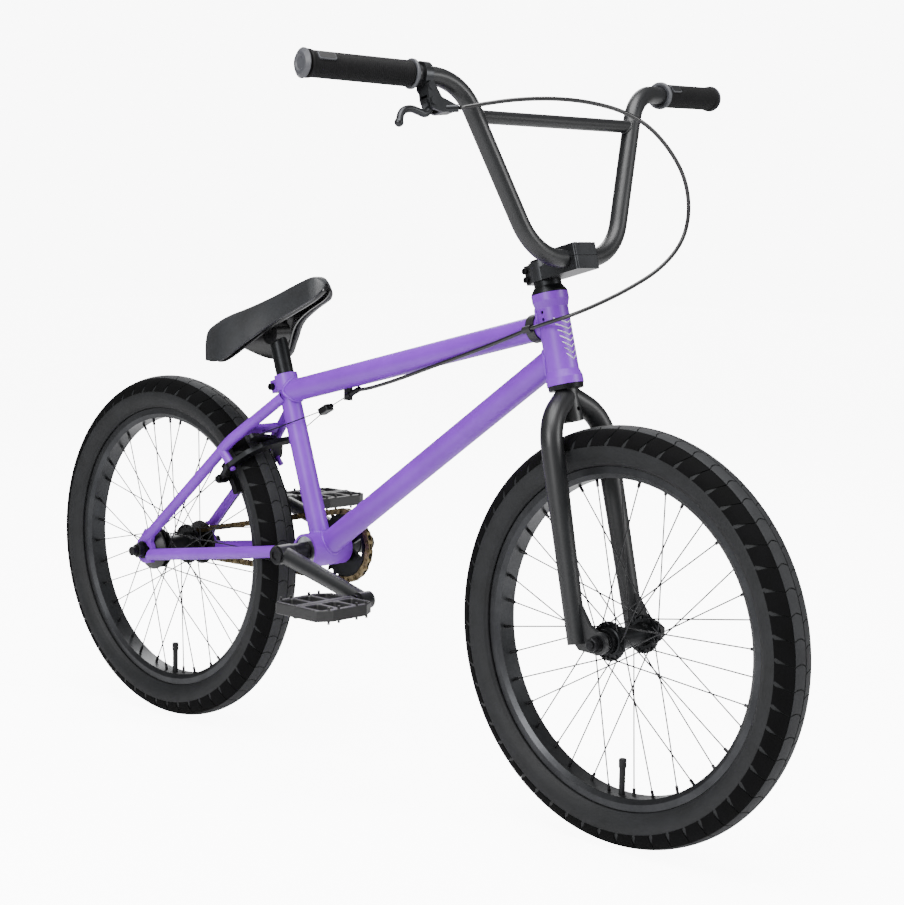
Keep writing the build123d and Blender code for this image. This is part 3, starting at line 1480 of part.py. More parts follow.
carrier_back = CARRIER_CENTRE - CARRIER_WAY * 10
arm_starts = {-1: NEAR_ARM_START, 1: FAR_ARM_START}
wire_ends = {}
wire_starts = {}
for side, start in arm_starts.items():
    middle = start + ARM_THICKNESS / 2
    wire_starts[side] = brake_point(-side * WIRE_ANCHOR[0], WIRE_ANCHOR[1], middle)
    wire_ends[side] = carrier_back + CARRIER_WAY * 8 + LEFT * (-side * 2.4)


def brake_arm(side, start):
    """One arm: its plate, the boss on the stud, the lug for the pad's post and the wire's anchor."""
    middle = start + ARM_THICKNESS / 2
    plane = Plane(origin=brake_point(0, 0, start), x_dir=LEFT, z_dir=STAY_FRONT)
    arm_line = [(side * across, up, radius) for across, up, radius in ARM_STATIONS]
    foot_line = [(side * across, up, radius) for across, up, radius in PAD_ARM_STATIONS]
    with BuildPart() as plate:
        with BuildSketch(plane):
            linked(arm_line)
            linked(foot_line)
        extrude(amount=ARM_THICKNESS)
    wire_way = (wire_ends[side] - wire_starts[side]).normalized()
    stud_start = brake_point(side * PIVOT_Y, 0, start - 2)
    lug_start = brake_point(side * 36, PAD_UP, middle)
    lug_end = brake_point(side * 47.5, PAD_UP, middle)
    arm = joined(
        [plate.part, rod(lug_start, lug_end, 6.5)],
        [
            rod(stud_start, stud_start + STAY_FRONT * 20, STUD_RADIUS + FIT),
            rod(
                brake_point(side * 10, PAD_UP, middle),
                brake_point(side * 60, PAD_UP, middle),
                POST_RADIUS + FIT,
            ),
            rod(wire_starts[side], wire_starts[side] + wire_way * 20, WIRE_RADIUS + GAP),
        ],
    )
    post_start = brake_point(side * (PAD_FACE + PAD_THICKNESS), PAD_UP, middle)
    post_end = brake_point(side * 54, PAD_UP, middle)
    washer = rod(lug_end, lug_end + LEFT * (side * 1.4), 6.5, POST_RADIUS + FIT)
    nut = hex_nut(lug_end + LEFT * (side * 1.4), LEFT * side, 10, 4, POST_RADIUS + FIT)
    return separate([arm, rod(post_start, post_end, POST_RADIUS), washer, nut])


def brake_pad(side, start):
    """A rubber block whose back is flat and whose edges follow the rim."""
    middle = start + ARM_THICKNESS / 2
    centre = brake_point(0, PAD_UP, middle) - REAR_AXLE
    angle = degrees(atan2(centre.Z, centre.X))
    start_angle = radians(angle - PAD_ANGLE / 2)
    radial = Vector(cos(start_angle), 0, sin(start_angle))
    with BuildPart() as pad:
        with BuildSketch(Plane(origin=REAR_AXLE, x_dir=radial, z_dir=radial.cross(LEFT))):
            with Locations(((PAD_LOW + PAD_HIGH) / 2, side * (PAD_FACE + PAD_THICKNESS / 2))):
                Rectangle(PAD_HIGH - PAD_LOW, PAD_THICKNESS - 0.05)
        revolve(axis=Axis(REAR_AXLE, (0, -1, 0)), revolution_arc=PAD_ANGLE)
    return pad.part


write("right_brake_arm", brake_arm(-1, NEAR_ARM_START))
write("left_brake_arm", brake_arm(1, FAR_ARM_START))
write("right_brake_pad", brake_pad(-1, NEAR_ARM_START))
write("left_brake_pad", brake_pad(1, FAR_ARM_START))

wires = []
wire_channels = []
for side in SIDES:
    start = wire_starts[side]
    end = wire_ends[side]
    way = (end - start).normalized()
    wires.append(rod(start, end, WIRE_RADIUS))
    wire_channels.append(rod(end - way * 20, end + way * 1, WIRE_RADIUS + GAP))
write("straddle_cable", separate(wires))

carrier_front = CARRIER_CENTRE + CARRIER_WAY * 10
pull_way = (STOP_PLACE - carrier_front).normalized()
carrier_plane = Plane(origin=CARRIER_CENTRE, x_dir=CARRIER_WAY, z_dir=CARRIER_WAY.cross(LEFT))
pull_wire = rod(carrier_front - pull_way * 8, STOP_PLACE + barrel_direction * 4, WIRE_RADIUS)
carrier = joined(
    [
        block(carrier_plane, (20, 14, 9), (0, 0, 0), 3),
        rod(carrier_front - CARRIER_WAY * 1, carrier_front + CARRIER_WAY * 4, 3.4),
    ],
    [*wire_channels, rod(carrier_front - pull_way * 8, carrier_front + pull_way * 10, WIRE_RADIUS + FIT)],
)
write("cable_carrier", separate([carrier, pull_wire]))
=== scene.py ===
# %% [markdown]
# # A BMX bike
# The engineering model gives every tube, bearing and bolt its place. This script opens that model
# and adds what makes a real bike look real: tread blocks, ribbed grips, a stitched saddle, weld
# beads, cable housing and the finishes of paint, alloy, plastic and rubber.

# %% Open the model
import json
import math

import bmesh
import bpy
from mathutils import Matrix, Vector


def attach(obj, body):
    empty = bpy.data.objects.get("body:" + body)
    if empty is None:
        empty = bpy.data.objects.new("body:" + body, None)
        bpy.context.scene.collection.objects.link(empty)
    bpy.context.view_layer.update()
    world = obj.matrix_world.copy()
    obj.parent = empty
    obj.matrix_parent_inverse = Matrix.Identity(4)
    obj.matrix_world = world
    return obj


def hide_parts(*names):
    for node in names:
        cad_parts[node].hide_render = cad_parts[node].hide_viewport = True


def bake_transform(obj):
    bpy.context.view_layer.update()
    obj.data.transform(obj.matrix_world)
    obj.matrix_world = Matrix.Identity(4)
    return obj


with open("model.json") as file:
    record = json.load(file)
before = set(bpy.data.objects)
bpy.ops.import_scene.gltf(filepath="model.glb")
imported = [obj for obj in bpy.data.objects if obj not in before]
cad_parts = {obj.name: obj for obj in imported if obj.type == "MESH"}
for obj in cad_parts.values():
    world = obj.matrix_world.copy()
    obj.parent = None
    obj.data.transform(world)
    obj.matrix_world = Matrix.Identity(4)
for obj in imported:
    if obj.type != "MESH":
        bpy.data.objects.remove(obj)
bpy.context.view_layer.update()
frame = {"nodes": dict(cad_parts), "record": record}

parts = frame["nodes"]
MM = 0.001
MERGE = 1e-6

# %% [markdown]
# The camera stands low and ahead of the bike, on its right, with a long lens, so that the near
# wheel is only a little larger than the far one. A camera looks along its own -Z, so its three
# axes are written as the columns of a matrix.

# %% Camera
CAMERA_PLACE = Vector((1.9026, -1.8449, 0.7599))
CAMERA_YAW = 2.3399
CAMERA_PITCH = -0.1197
CAMERA_ROLL = 0.0175
FOCAL_SHARE = 2.1892
SENSOR = 36.0

ahead = Vector(
    (
        math.cos(CAMERA_YAW) * math.cos(CAMERA_PITCH),
        math.sin(CAMERA_YAW) * math.cos(CAMERA_PITCH),
        math.sin(CAMERA_PITCH),
    )
)
level = Vector((math.sin(CAMERA_YAW), -math.cos(CAMERA_YAW), 0))
above = level.cross(ahead)
across = level * math.cos(CAMERA_ROLL) + above * math.sin(CAMERA_ROLL)
upward = above * math.cos(CAMERA_ROLL) - level * math.sin(CAMERA_ROLL)
camera_data = bpy.data.cameras.new("camera")
camera_data.sensor_width = SENSOR
camera_data.lens = FOCAL_SHARE * SENSOR
camera_data.shift_x = 0.0133
camera = bpy.data.objects.new("camera", camera_data)
camera.matrix_world = Matrix(
    (
        (across.x, upward.x, -ahead.x, CAMERA_PLACE.x),
        (across.y, upward.y, -ahead.y, CAMERA_PLACE.y),
        (across.z, upward.z, -ahead.z, CAMERA_PLACE.z),
        (0, 0, 0, 1),
    )
)
bpy.context.scene.collection.objects.link(camera)
bpy.context.scene.camera = camera
print("lens", round(camera_data.lens, 1), "mm")

# %% [markdown]
# Small helpers come next. A mesh that bmesh has shaped becomes an object, gets its finish and
# rides on a body of the bike. Colours are written as the hex values that a painter would pick, and
# one function turns them into the linear numbers that light is worked out in.

# %% Helpers for pieces and nodes
def linear(colour):
    """A hex colour as linear red, green, blue and alpha."""
    values = []
    for start in (1, 3, 5):
        share = int(colour[start : start + 2], 16) / 255
        values.append(share / 12.92 if share <= 0.04045 else ((share + 0.055) / 1.055) ** 2.4)
    return (*values, 1.0)


def add(tree, kind, inputs=None, **settings):
    """Adds one node; an input is either a value or the socket that feeds it."""
    made = tree.nodes.new("ShaderNode" + kind)
    for key, value in settings.items():
        setattr(made, key, value)
    for socket, value in (inputs or {}).items():
        if isinstance(value, bpy.types.NodeSocket):
            tree.links.new(value, made.inputs[socket])
        else:
            made.inputs[socket].default_value = value
    return made


def piece(name, mesh, material, body, smooth=True):
    """An object from a finished bmesh, which rides on a body, or on none if none is given."""
    data = bpy.data.meshes.new(name)
    mesh.to_mesh(data)
    mesh.free()
    for face in data.polygons:
        face.use_smooth = smooth
    data.materials.append(material)
    made = bpy.data.objects.new(name, data)
    bpy.context.scene.collection.objects.link(made)
    if body:
        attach(made, body)
    return made


def mesh_of(curve):
    """The mesh of a curve's tube."""
    holder = bpy.data.objects.new(curve.name + "_line", curve)
    bpy.context.scene.collection.objects.link(holder)
    bpy.context.view_layer.update()
    data = bpy.data.meshes.new_from_object(holder.evaluated_get(bpy.context.evaluated_depsgraph_get()))
    bpy.data.objects.remove(holder)
    mesh = bmesh.new()
    mesh.from_mesh(data)
    bpy.data.meshes.remove(data)
    return mesh


def spun(outline, centre, axis, steps):
    """A closed ring of places turned all the way round an axis."""
    mesh = bmesh.new()
    corners = [mesh.verts.new(place) for place in outline]
    edges = [mesh.edges.new((corners[i - 1], corners[i])) for i in range(len(corners))]
    bmesh.ops.spin(
        mesh,
        geom=corners + edges,
        cent=centre,
        axis=axis,
        angle=2 * math.pi,
        steps=steps,
        dvec=(0, 0, 0),
        use_merge=True,
    )
    bmesh.ops.remove_doubles(mesh, verts=mesh.verts, dist=MERGE)
    bmesh.ops.recalc_face_normals(mesh, faces=mesh.faces)
    return mesh


# %% [markdown]
# Every finish starts from the same three things: a base colour, how metallic it is and how rough.
# Real surfaces are never even, so a fine noise moves the roughness a little and lifts the surface
# by a few hundredths of a millimetre. A second, wide noise shifts the colour slightly.

# %% Helpers for finishes
def finish(name, colour, metallic, roughness, **sockets):
    """A material with a Principled shader, ready for its patterns."""
    material = bpy.data.materials.new(name)
    material.use_nodes = True
    tree = material.node_tree
    shader = tree.nodes["Principled BSDF"]
    shader.inputs["Base Color"].default_value = linear(colour)
    shader.inputs["Metallic"].default_value = metallic
    shader.inputs["Roughness"].default_value = roughness
    for socket, value in sockets.items():
        shader.inputs[socket.replace("_", " ")].default_value = value
    return material, tree, shader


FINE = {"Detail": 4.0, "Roughness": 0.6}
CLOUDY = {"Detail": 5.0, "Roughness": 0.65}
CLOUD_RANGE = {"From Min": 0.35, "From Max": 0.65}


def noise(tree, size, settings):
    """Noise whose features have a real size, in millimetres, in the part's own place."""
    place = add(tree, "TexCoord")
    inputs = {"Vector": place.outputs["Object"], "Scale": 1 / (size * MM), **settings}
    return add(tree, "TexNoise", inputs).outputs["Fac"]


def grain(tree, shader, size, rough, lift):
    """Fine noise on the roughness and the surface."""
    fine = noise(tree, size, FINE)
    spread = add(tree, "MapRange", {"Value": fine, "To Min": rough[0], "To Max": rough[1]})
    tree.links.new(spread.outputs[0], shader.inputs["Roughness"])
    bump = add(tree, "Bump", {"Height": fine, "Strength": 0.6, "Distance": lift * MM})
    tree.links.new(bump.outputs[0], shader.inputs["Normal"])


def tinted(tree, shader, light, dark, size):
    """A wide noise that moves the colour between two close shades."""
    cloud = noise(tree, size, CLOUDY)
    share = add(tree, "MapRange", {"Value": cloud, **CLOUD_RANGE})
    mix = add(tree, "Mix", {0: share.outputs[0], 6: linear(light), 7: linear(dark)}, data_type="RGBA")
    tree.links.new(mix.outputs[2], shader.inputs["Base Color"])


# %% [markdown]
# The frame is powder coated: a satin purple film, a tenth of a millimetre thick, baked on. It has
# a very fine orange peel and a thin clear layer that softens the highlight along each tube.

# %% Powder coat
purple, tree, shader = finish(
    "powder_coat_purple", "#6A24A6", 0.0, 0.42, Coat_Weight=0.1, Coat_Roughness=0.35, Specular_IOR_Level=0.35
)
tinted(tree, shader, "#6F27AE", "#65219F", 90)
grain(tree, shader, 0.9, (0.36, 0.48), 0.03)

black_paint, tree, shader = finish(
    "powder_coat_black", "#0D0E10", 0.0, 0.42, Coat_Weight=0.1, Coat_Roughness=0.4, Specular_IOR_Level=0.4
)
tinted(tree, shader, "#101113", "#0A0B0D", 60)
grain(tree, shader, 0.8, (0.36, 0.5), 0.03)

# %% [markdown]
# Alloy parts are anodised: the colour is in the oxide itself, so the metal still shines through
# it. A shot-blasted grain makes it satin. Steel bolts are blackened or zinc plated, and turning
# leaves rings too fine to see, so they are drawn as a slight unevenness.

# %% Metals
black_alloy, tree, shader = finish("anodised_aluminium_black", "#1C1D1F", 0.85, 0.36)
tinted(tree, shader, "#212224", "#171819", 25)
grain(tree, shader, 0.5, (0.34, 0.48), 0.02)

satin_alloy, tree, shader = finish("anodised_aluminium_satin", "#2E2F31", 0.8, 0.36)
tinted(tree, shader, "#343537", "#28292B", 40)
grain(tree, shader, 0.5, (0.32, 0.44), 0.015)

dark_steel, tree, shader = finish("black_oxide_steel", "#202022", 0.9, 0.4)
tinted(tree, shader, "#29292B", "#18181A", 6)
grain(tree, shader, 0.6, (0.34, 0.55), 0.02)

zinc_steel, tree, shader = finish("zinc_plated_steel", "#9A9B9F", 1.0, 0.34)
tinted(tree, shader, "#A8A9AD", "#86878B", 8)
grain(tree, shader, 0.4, (0.26, 0.42), 0.01)

chain_steel, tree, shader = finish("bronze_plated_chain", "#76694F", 0.95, 0.36)
tinted(tree, shader, "#85775A", "#453C2C", 9)
grain(tree, shader, 0.7, (0.3, 0.55), 0.02)

spoke_steel, tree, shader = finish("black_spoke_steel", "#161618", 0.5, 0.34)
grain(tree, shader, 1.5, (0.28, 0.42), 0.005)

# %% [markdown]
# Rubber is matt and slightly warm. A tyre's side is smooth from its mould, while its tread is
# dusty and paler where it is crowned. Plastics are moulded with a fine spark-eroded texture.

# %% Rubbers and plastics
side_rubber, tree, shader = finish("moulded_tyre_side", "#141517", 0.0, 0.6, Specular_IOR_Level=0.25)
tinted(tree, shader, "#17181A", "#101112", 35)
grain(tree, shader, 0.8, (0.55, 0.72), 0.04)

tread_rubber, tree, shader = finish("tread_rubber", "#090909", 0.0, 0.78, Specular_IOR_Level=0.04)
tinted(tree, shader, "#0A0A0B", "#080808", 30)
grain(tree, shader, 0.7, (0.66, 0.84), 0.06)

crown_rubber, tree, shader = finish("crown_tread_rubber", "#1A1B1D", 0.0, 0.66, Specular_IOR_Level=0.3)
tinted(tree, shader, "#1E1F21", "#161719", 25)
grain(tree, shader, 0.7, (0.62, 0.8), 0.06)

grip_rubber, tree, shader = finish("soft_grip_rubber", "#0A0A0B", 0.0, 0.74, Specular_IOR_Level=0.14)
tinted(tree, shader, "#101011", "#0B0B0C", 15)
grain(tree, shader, 0.6, (0.6, 0.8), 0.05)

black_plastic, tree, shader = finish("glass_filled_nylon_black", "#0F0F10", 0.0, 0.44)
tinted(tree, shader, "#131314", "#0C0C0D", 14)
grain(tree, shader, 0.7, (0.42, 0.6), 0.05)

grey_plastic, tree, shader = finish("moulded_nylon_grey", "#3A3B3F", 0.0, 0.48)
tinted(tree, shader, "#404145", "#333438", 14)
grain(tree, shader, 0.7, (0.4, 0.56), 0.04)

base_plastic, tree, shader = finish("saddle_base_nylon", "#0E0E0F", 0.0, 0.3)
tinted(tree, shader, "#121213", "#0B0B0C", 20)
grain(tree, shader, 0.9, (0.22, 0.36), 0.03)

housing_plastic, tree, shader = finish("extruded_cable_housing", "#0B0B0C", 0.0, 0.34)
tinted(tree, shader, "#0D0D0E", "#09090A", 20)
grain(tree, shader, 1.2, (0.3, 0.42), 0.02)

white_ink, tree, shader = finish("screen_printed_ink", "#E9E9EE", 0.0, 0.45)
tinted(tree, shader, "#EFEFF3", "#DFDFE6", 6)
grain(tree, shader, 0.5, (0.4, 0.52), 0.01)

# %% [markdown]
# A pivotal saddle is foam under a thin synthetic cover. Its grain is a network of small creases,
# as in leather, about a millimetre across, which cells of a Voronoi pattern draw well.

# %% Saddle cover
CREASE_SIZE = 1.3
saddle_cover, tree, shader = finish("synthetic_saddle_cover", "#16181B", 0.0, 0.46, Specular_IOR_Level=0.5)
tinted(tree, shader, "#1A1C1F", "#131416", 45)
place = add(tree, "TexCoord")
cell_inputs = {"Vector": place.outputs["Object"], "Scale": 1 / (CREASE_SIZE * MM)}
cells = add(tree, "TexVoronoi", cell_inputs, feature="DISTANCE_TO_EDGE")
crease = add(tree, "MapRange", {"Value": cells.outputs["Distance"], "From Max": 0.16})
bump = add(tree, "Bump", {"Height": crease.outputs[0], "Strength": 0.45, "Distance": 0.08 * MM})
tree.links.new(bump.outputs[0], shader.inputs["Normal"])
rough = add(tree, "MapRange", {"Value": crease.outputs[0], "To Min": 0.6, "To Max": 0.46})
tree.links.new(rough.outputs[0], shader.inputs["Roughness"])
print("finishes:", len(bpy.data.materials))

# %% [markdown]
# The brake housing leaves the lever, swings forward in a wide loop that lets the bar turn, and
# then runs along the top tube to its stop. A NURBS curve through listed control points gives
# the smooth line that a stiff housing takes. The loop rides on no body, and the run rides on
# the frame.

# %% Brake housing
HOUSING_RADIUS = 2.5 * MM
WIRE_RADIUS = 0.8 * MM
LOOP_ROUTE = [
    (0.312, -0.180, 0.881),
    (0.340, -0.150, 0.889),
    (0.362, -0.120, 0.8935),
    (0.382, -0.084, 0.895),
    (0.399, -0.047, 0.892),
    (0.413, -0.008, 0.884),
    (0.424, 0.028, 0.8685),
    (0.431, 0.062, 0.841),
    (0.4345, 0.089, 0.808),
    (0.433, 0.102, 0.768),
    (0.427, 0.097, 0.730),
    (0.415, 0.070, 0.698),
    (0.399, 0.031, 0.6745),
    (0.379, 0.0, 0.6565),
    (0.357, -0.023, 0.6425),
    (0.328, -0.032, 0.6325),
    (0.300, -0.0235, 0.6255),
    (0.282, -0.0195, 0.621),
]
RUN_ROUTE = [
    (0.2812, -0.0195, 0.6207),
    (0.232, -0.0176, 0.6025),
    (0.170, -0.0152, 0.582),
    (0.106, -0.0125, 0.5615),
    (0.050, -0.0088, 0.5435),
    (0.0, -0.004, 0.5295),
    (-0.026, -0.001, 0.5235),
    (-0.041, 0.0, 0.5212),
]


def tube_along(name, route, radius):
    """A round tube along a NURBS curve, as a mesh."""
    line = bpy.data.curves.new(name, "CURVE")
    line.dimensions = "3D"
    line.bevel_depth = radius
    line.bevel_resolution = 5
    line.resolution_u = 10
    line.use_fill_caps = True
    spline = line.splines.new("NURBS")
    spline.points.add(len(route) - 1)
    for point, place in zip(spline.points, route):
        point.co = (*place, 1.0)
    spline.order_u = 3
    spline.use_endpoint_u = True
    mesh = mesh_of(line)
    bmesh.ops.remove_doubles(mesh, verts=mesh.verts, dist=MERGE)
    return mesh


loop_mesh = tube_along("loop", LOOP_ROUTE, HOUSING_RADIUS)
loop = piece("brake_housing_loop", loop_mesh, housing_plastic, None)
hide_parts("cable_loop")
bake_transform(loop)
run_mesh = tube_along("run", RUN_ROUTE, HOUSING_RADIUS)
run = piece("brake_housing_run", run_mesh, housing_plastic, "frame")
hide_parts("brake_housing")
print("housing:", len(loop.data.vertices), "and", len(run.data.vertices), "vertices")

# %% [markdown]
# The straddle wire hangs from a small carrier behind the top tube's stop and pulls both brake
# arms. Each side is two lengths that meet halfway: one runs to the carrier, and the other to
# its own arm. Neither length rides on a body.

# %% Straddle wire
ARM_END_Y = 0.034
CARRIER_EYE_Y = 0.0024
CARRIER_BACK = Vector((-0.1058, 0, 0.4886))
PIVOT = Vector((-0.258, 0, 0.407))
STAY_UP = Vector((0.7335, 0, 0.6797))
STAY_FRONT = Vector((0.6797, 0, -0.7335))
ARM_REACH = 0.052
for side, arm, step in ((1, "right_brake", 0.0095), (-1, "left_brake", -0.0005)):
    start = CARRIER_BACK + Vector((0, side * CARRIER_EYE_Y, 0))
    end = PIVOT + STAY_UP * ARM_REACH + STAY_FRONT * step + Vector((0, side * ARM_END_Y, 0))
    middle = start.lerp(end, 0.5)
    for half, anchor, mover in (("front", start, "cable_carrier"), ("rear", end, arm)):
        wire_mesh = tube_along(arm + "_wire", [middle, middle.lerp(anchor, 0.5), anchor], WIRE_RADIUS)
        wire = piece(arm + "_straddle_wire_" + half, wire_mesh, dark_steel, None)
        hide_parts("straddle_cable")
        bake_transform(wire)
print("straddle wire from", [round(c, 3) for c in start], "to", [round(c, 3) for c in end])

# %% [markdown]
# The tyre's casing is one section turned round the axle. It is an ellipse with a moulded rib
# beside the rim, and a thin step where the tread begins. The tread itself is one pitch of blocks,
# repeated 56 times: long slanted blocks on each shoulder, whose gaps widen towards the side, and
# low blocks on the crown with narrow cross grooves.

# %% Tyres
RADIUS = 0.257
WHEEL_X = 0.435
SECTION_CENTRE = 0.2295
CASING_HIGH = 0.0257
CASING_WIDE = 0.0296
WALL = 0.0026
BEAD_RADIUS = 0.2092
PITCHES = 56
TREAD_EDGE = math.radians(80)
SHOULDER_START = math.radians(31)
CROWN_START = math.radians(1.2)
CROWN_EDGE = math.radians(29.5)
BLOCK_HEIGHT = 0.0017
BLOCK_EDGE = 0.0004
OUTER_STEPS = 44
INNER_STEPS = 22
TURN_STEPS = 168
# each rib beside the rim: height, place as a share of the way to the bead, and width
RIBS = [(0.0007, 0.9, 0.03), (0.0006, 0.97, 0.03)]
STEP_HEIGHT = 0.0005


def casing_point(turn, lift=0.0):
    """Radius and side of the casing at an angle from its crown, raised by a lift."""
    outward = Vector((math.cos(turn) / CASING_HIGH, math.sin(turn) / CASING_WIDE)).normalized()
    skin = Vector((SECTION_CENTRE + CASING_HIGH * math.cos(turn), CASING_WIDE * math.sin(turn)))
    return skin + outward * lift


def casing_profile():
    """The closed outline of a tyre's wall, as radius and side."""
    low = math.acos((BEAD_RADIUS - SECTION_CENTRE) / CASING_HIGH)
    outline = []
    for step in range(-OUTER_STEPS, OUTER_STEPS + 1):
        turn = low * step / OUTER_STEPS
        lift = 0.0
        for height, middle, width in RIBS:
            lift += height * math.exp(-(((abs(turn) - low * middle) / width) ** 2))
        lift += STEP_HEIGHT * math.exp(-(((abs(turn) - TREAD_EDGE * 1.04) / 0.02) ** 2))
        outline.append(casing_point(turn, lift))
    inner = range(INNER_STEPS, -INNER_STEPS - 1, -1)
    return outline + [casing_point(low * step / INNER_STEPS, -WALL) for step in inner]


def wheel_place(wheel_x, angle, radius, side):
    """A place on a wheel: its angle, radius and side."""
    return Vector((wheel_x + radius * math.cos(angle), side, RADIUS + radius * math.sin(angle)))


def block(mesh, wheel_x, side, low, high, edges, cells, lift, flare=1.0):
    """One raised tread block between two section angles; edges gives its two ends there."""
    columns, rows = cells
    grid = []
    for row in range(rows + 1):
        turn = low + (high - low) * row / rows
        first, last = edges(row / rows)
        point = casing_point(turn, lift * (1 - (1 - flare) * row / rows))
        line = []
        for column in range(columns + 1):
            angle = first + (last - first) * column / columns
            line.append(mesh.verts.new(wheel_place(wheel_x, angle, point.x, side * point.y)))
        grid.append(line)
    faces = [
        mesh.faces.new((grid[i][j], grid[i][j + 1], grid[i + 1][j + 1], grid[i + 1][j]))
        for i in range(rows)
        for j in range(columns)
    ]
    rim = [edge for edge in {e for f in faces for e in f.edges} if len(edge.link_faces) == 1]
    walls = bmesh.ops.extrude_edge_only(mesh, edges=rim)["geom"]
    for vertex in (item for item in walls if isinstance(item, bmesh.types.BMVert)):
        flat = Vector((vertex.co.x - wheel_x, 0, vertex.co.z - RADIUS))
        radius = flat.length
        turn = math.atan2(abs(vertex.co.y) / CASING_WIDE, (radius - SECTION_CENTRE) / CASING_HIGH)
        point = casing_point(turn, -BLOCK_EDGE)
        vertex.co = wheel_place(wheel_x, math.atan2(flat.z, flat.x), point.x, side * point.y)
    return rim


def tread(wheel_x, kind):
    """All the blocks of one kind round a tyre."""
    mesh = bmesh.new()
    pitch = 2 * math.pi / PITCHES
    top_edges = []
    for side in (-1, 1):
        offset = 0 if side > 0 else pitch * 0.3
        if kind == "shoulder":

            def ends(share):
                slant = pitch * 0.34 * share
                gap = pitch * (0.016 + 0.2 * max(0, share - 0.42) * (1 if share < 0.99 else 0.4))
                return offset + slant + gap, offset + slant + pitch - gap

            reach = (SHOULDER_START, TREAD_EDGE)
            top_edges += block(mesh, wheel_x, side, *reach, ends, (4, 12), BLOCK_HEIGHT, 0.55)
        else:

            def ends(share):
                bow = pitch * 0.12 * math.sin(math.pi * share)
                return offset + bow + pitch * 0.025, offset + bow + pitch * 0.975

            reach = (CROWN_START, CROWN_EDGE)
            top_edges += block(mesh, wheel_x, side, *reach, ends, (4, 6), BLOCK_HEIGHT)
    bmesh.ops.bevel(
        mesh,
        geom=top_edges,
        offset=BLOCK_EDGE,
        offset_type="OFFSET",
        segments=2,
        profile=0.5,
        affect="EDGES",
        material=-1,
    )
    bmesh.ops.spin(
        mesh,
        geom=mesh.verts[:] + mesh.edges[:] + mesh.faces[:],
        cent=(wheel_x, 0, RADIUS),
        axis=(0, 1, 0),
        angle=2 * math.pi * (PITCHES - 1) / PITCHES,
        steps=PITCHES - 1,
        use_duplicate=True,
        dvec=(0, 0, 0),
    )
    bmesh.ops.recalc_face_normals(mesh, faces=mesh.faces)
    return mesh


for wheel, wheel_x in (("front", WHEEL_X), ("rear", -WHEEL_X)):
    body = wheel + "_wheel"
    section = [wheel_place(wheel_x, 0, point[0], point[1]) for point in casing_profile()]
    casing_mesh = spun(section, (wheel_x, 0, RADIUS), (0, 1, 0), TURN_STEPS)
    casing = piece(wheel + "_tyre_casing", casing_mesh, side_rubber, body)
    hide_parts(wheel + "_tyre")
    rows = []
    for kind, rubber in (("shoulder", tread_rubber), ("crown", crown_rubber)):
        row_mesh = tread(wheel_x, kind)
        rows.append(piece(f"{wheel}_{kind}_blocks", row_mesh, rubber, body, False))
    print(wheel, "tyre:", [len(o.data.polygons) for o in (casing, *rows)], "faces")

# %% [markdown]
# The grips are soft rubber with fine ribs round them, a grey flange at the inner end and a small
# blank badge near the outer end. One outline, turned round the bar's axis, makes each grip.

# %% Grips
GRIP_IN = 0.231
GRIP_OUT = 0.367
RIB_PITCH = 0.0026
GRIP_STEPS = 48
BAR_BEND = Vector((0.2945, 0.163, 0.916))
BAR_END = Vector((0.2568, 0.370, 0.9219))


FACING = Vector((0.8, 0, 0.6))


def turned_along(start, way, outline):
    """An outline of (distance, radius) pairs turned round a line, closed to the line's bore."""
    side = way.orthogonal().normalized()
    ring = [start + way * along + side * radius for along, radius in outline]
    return spun(ring, start, way, GRIP_STEPS)


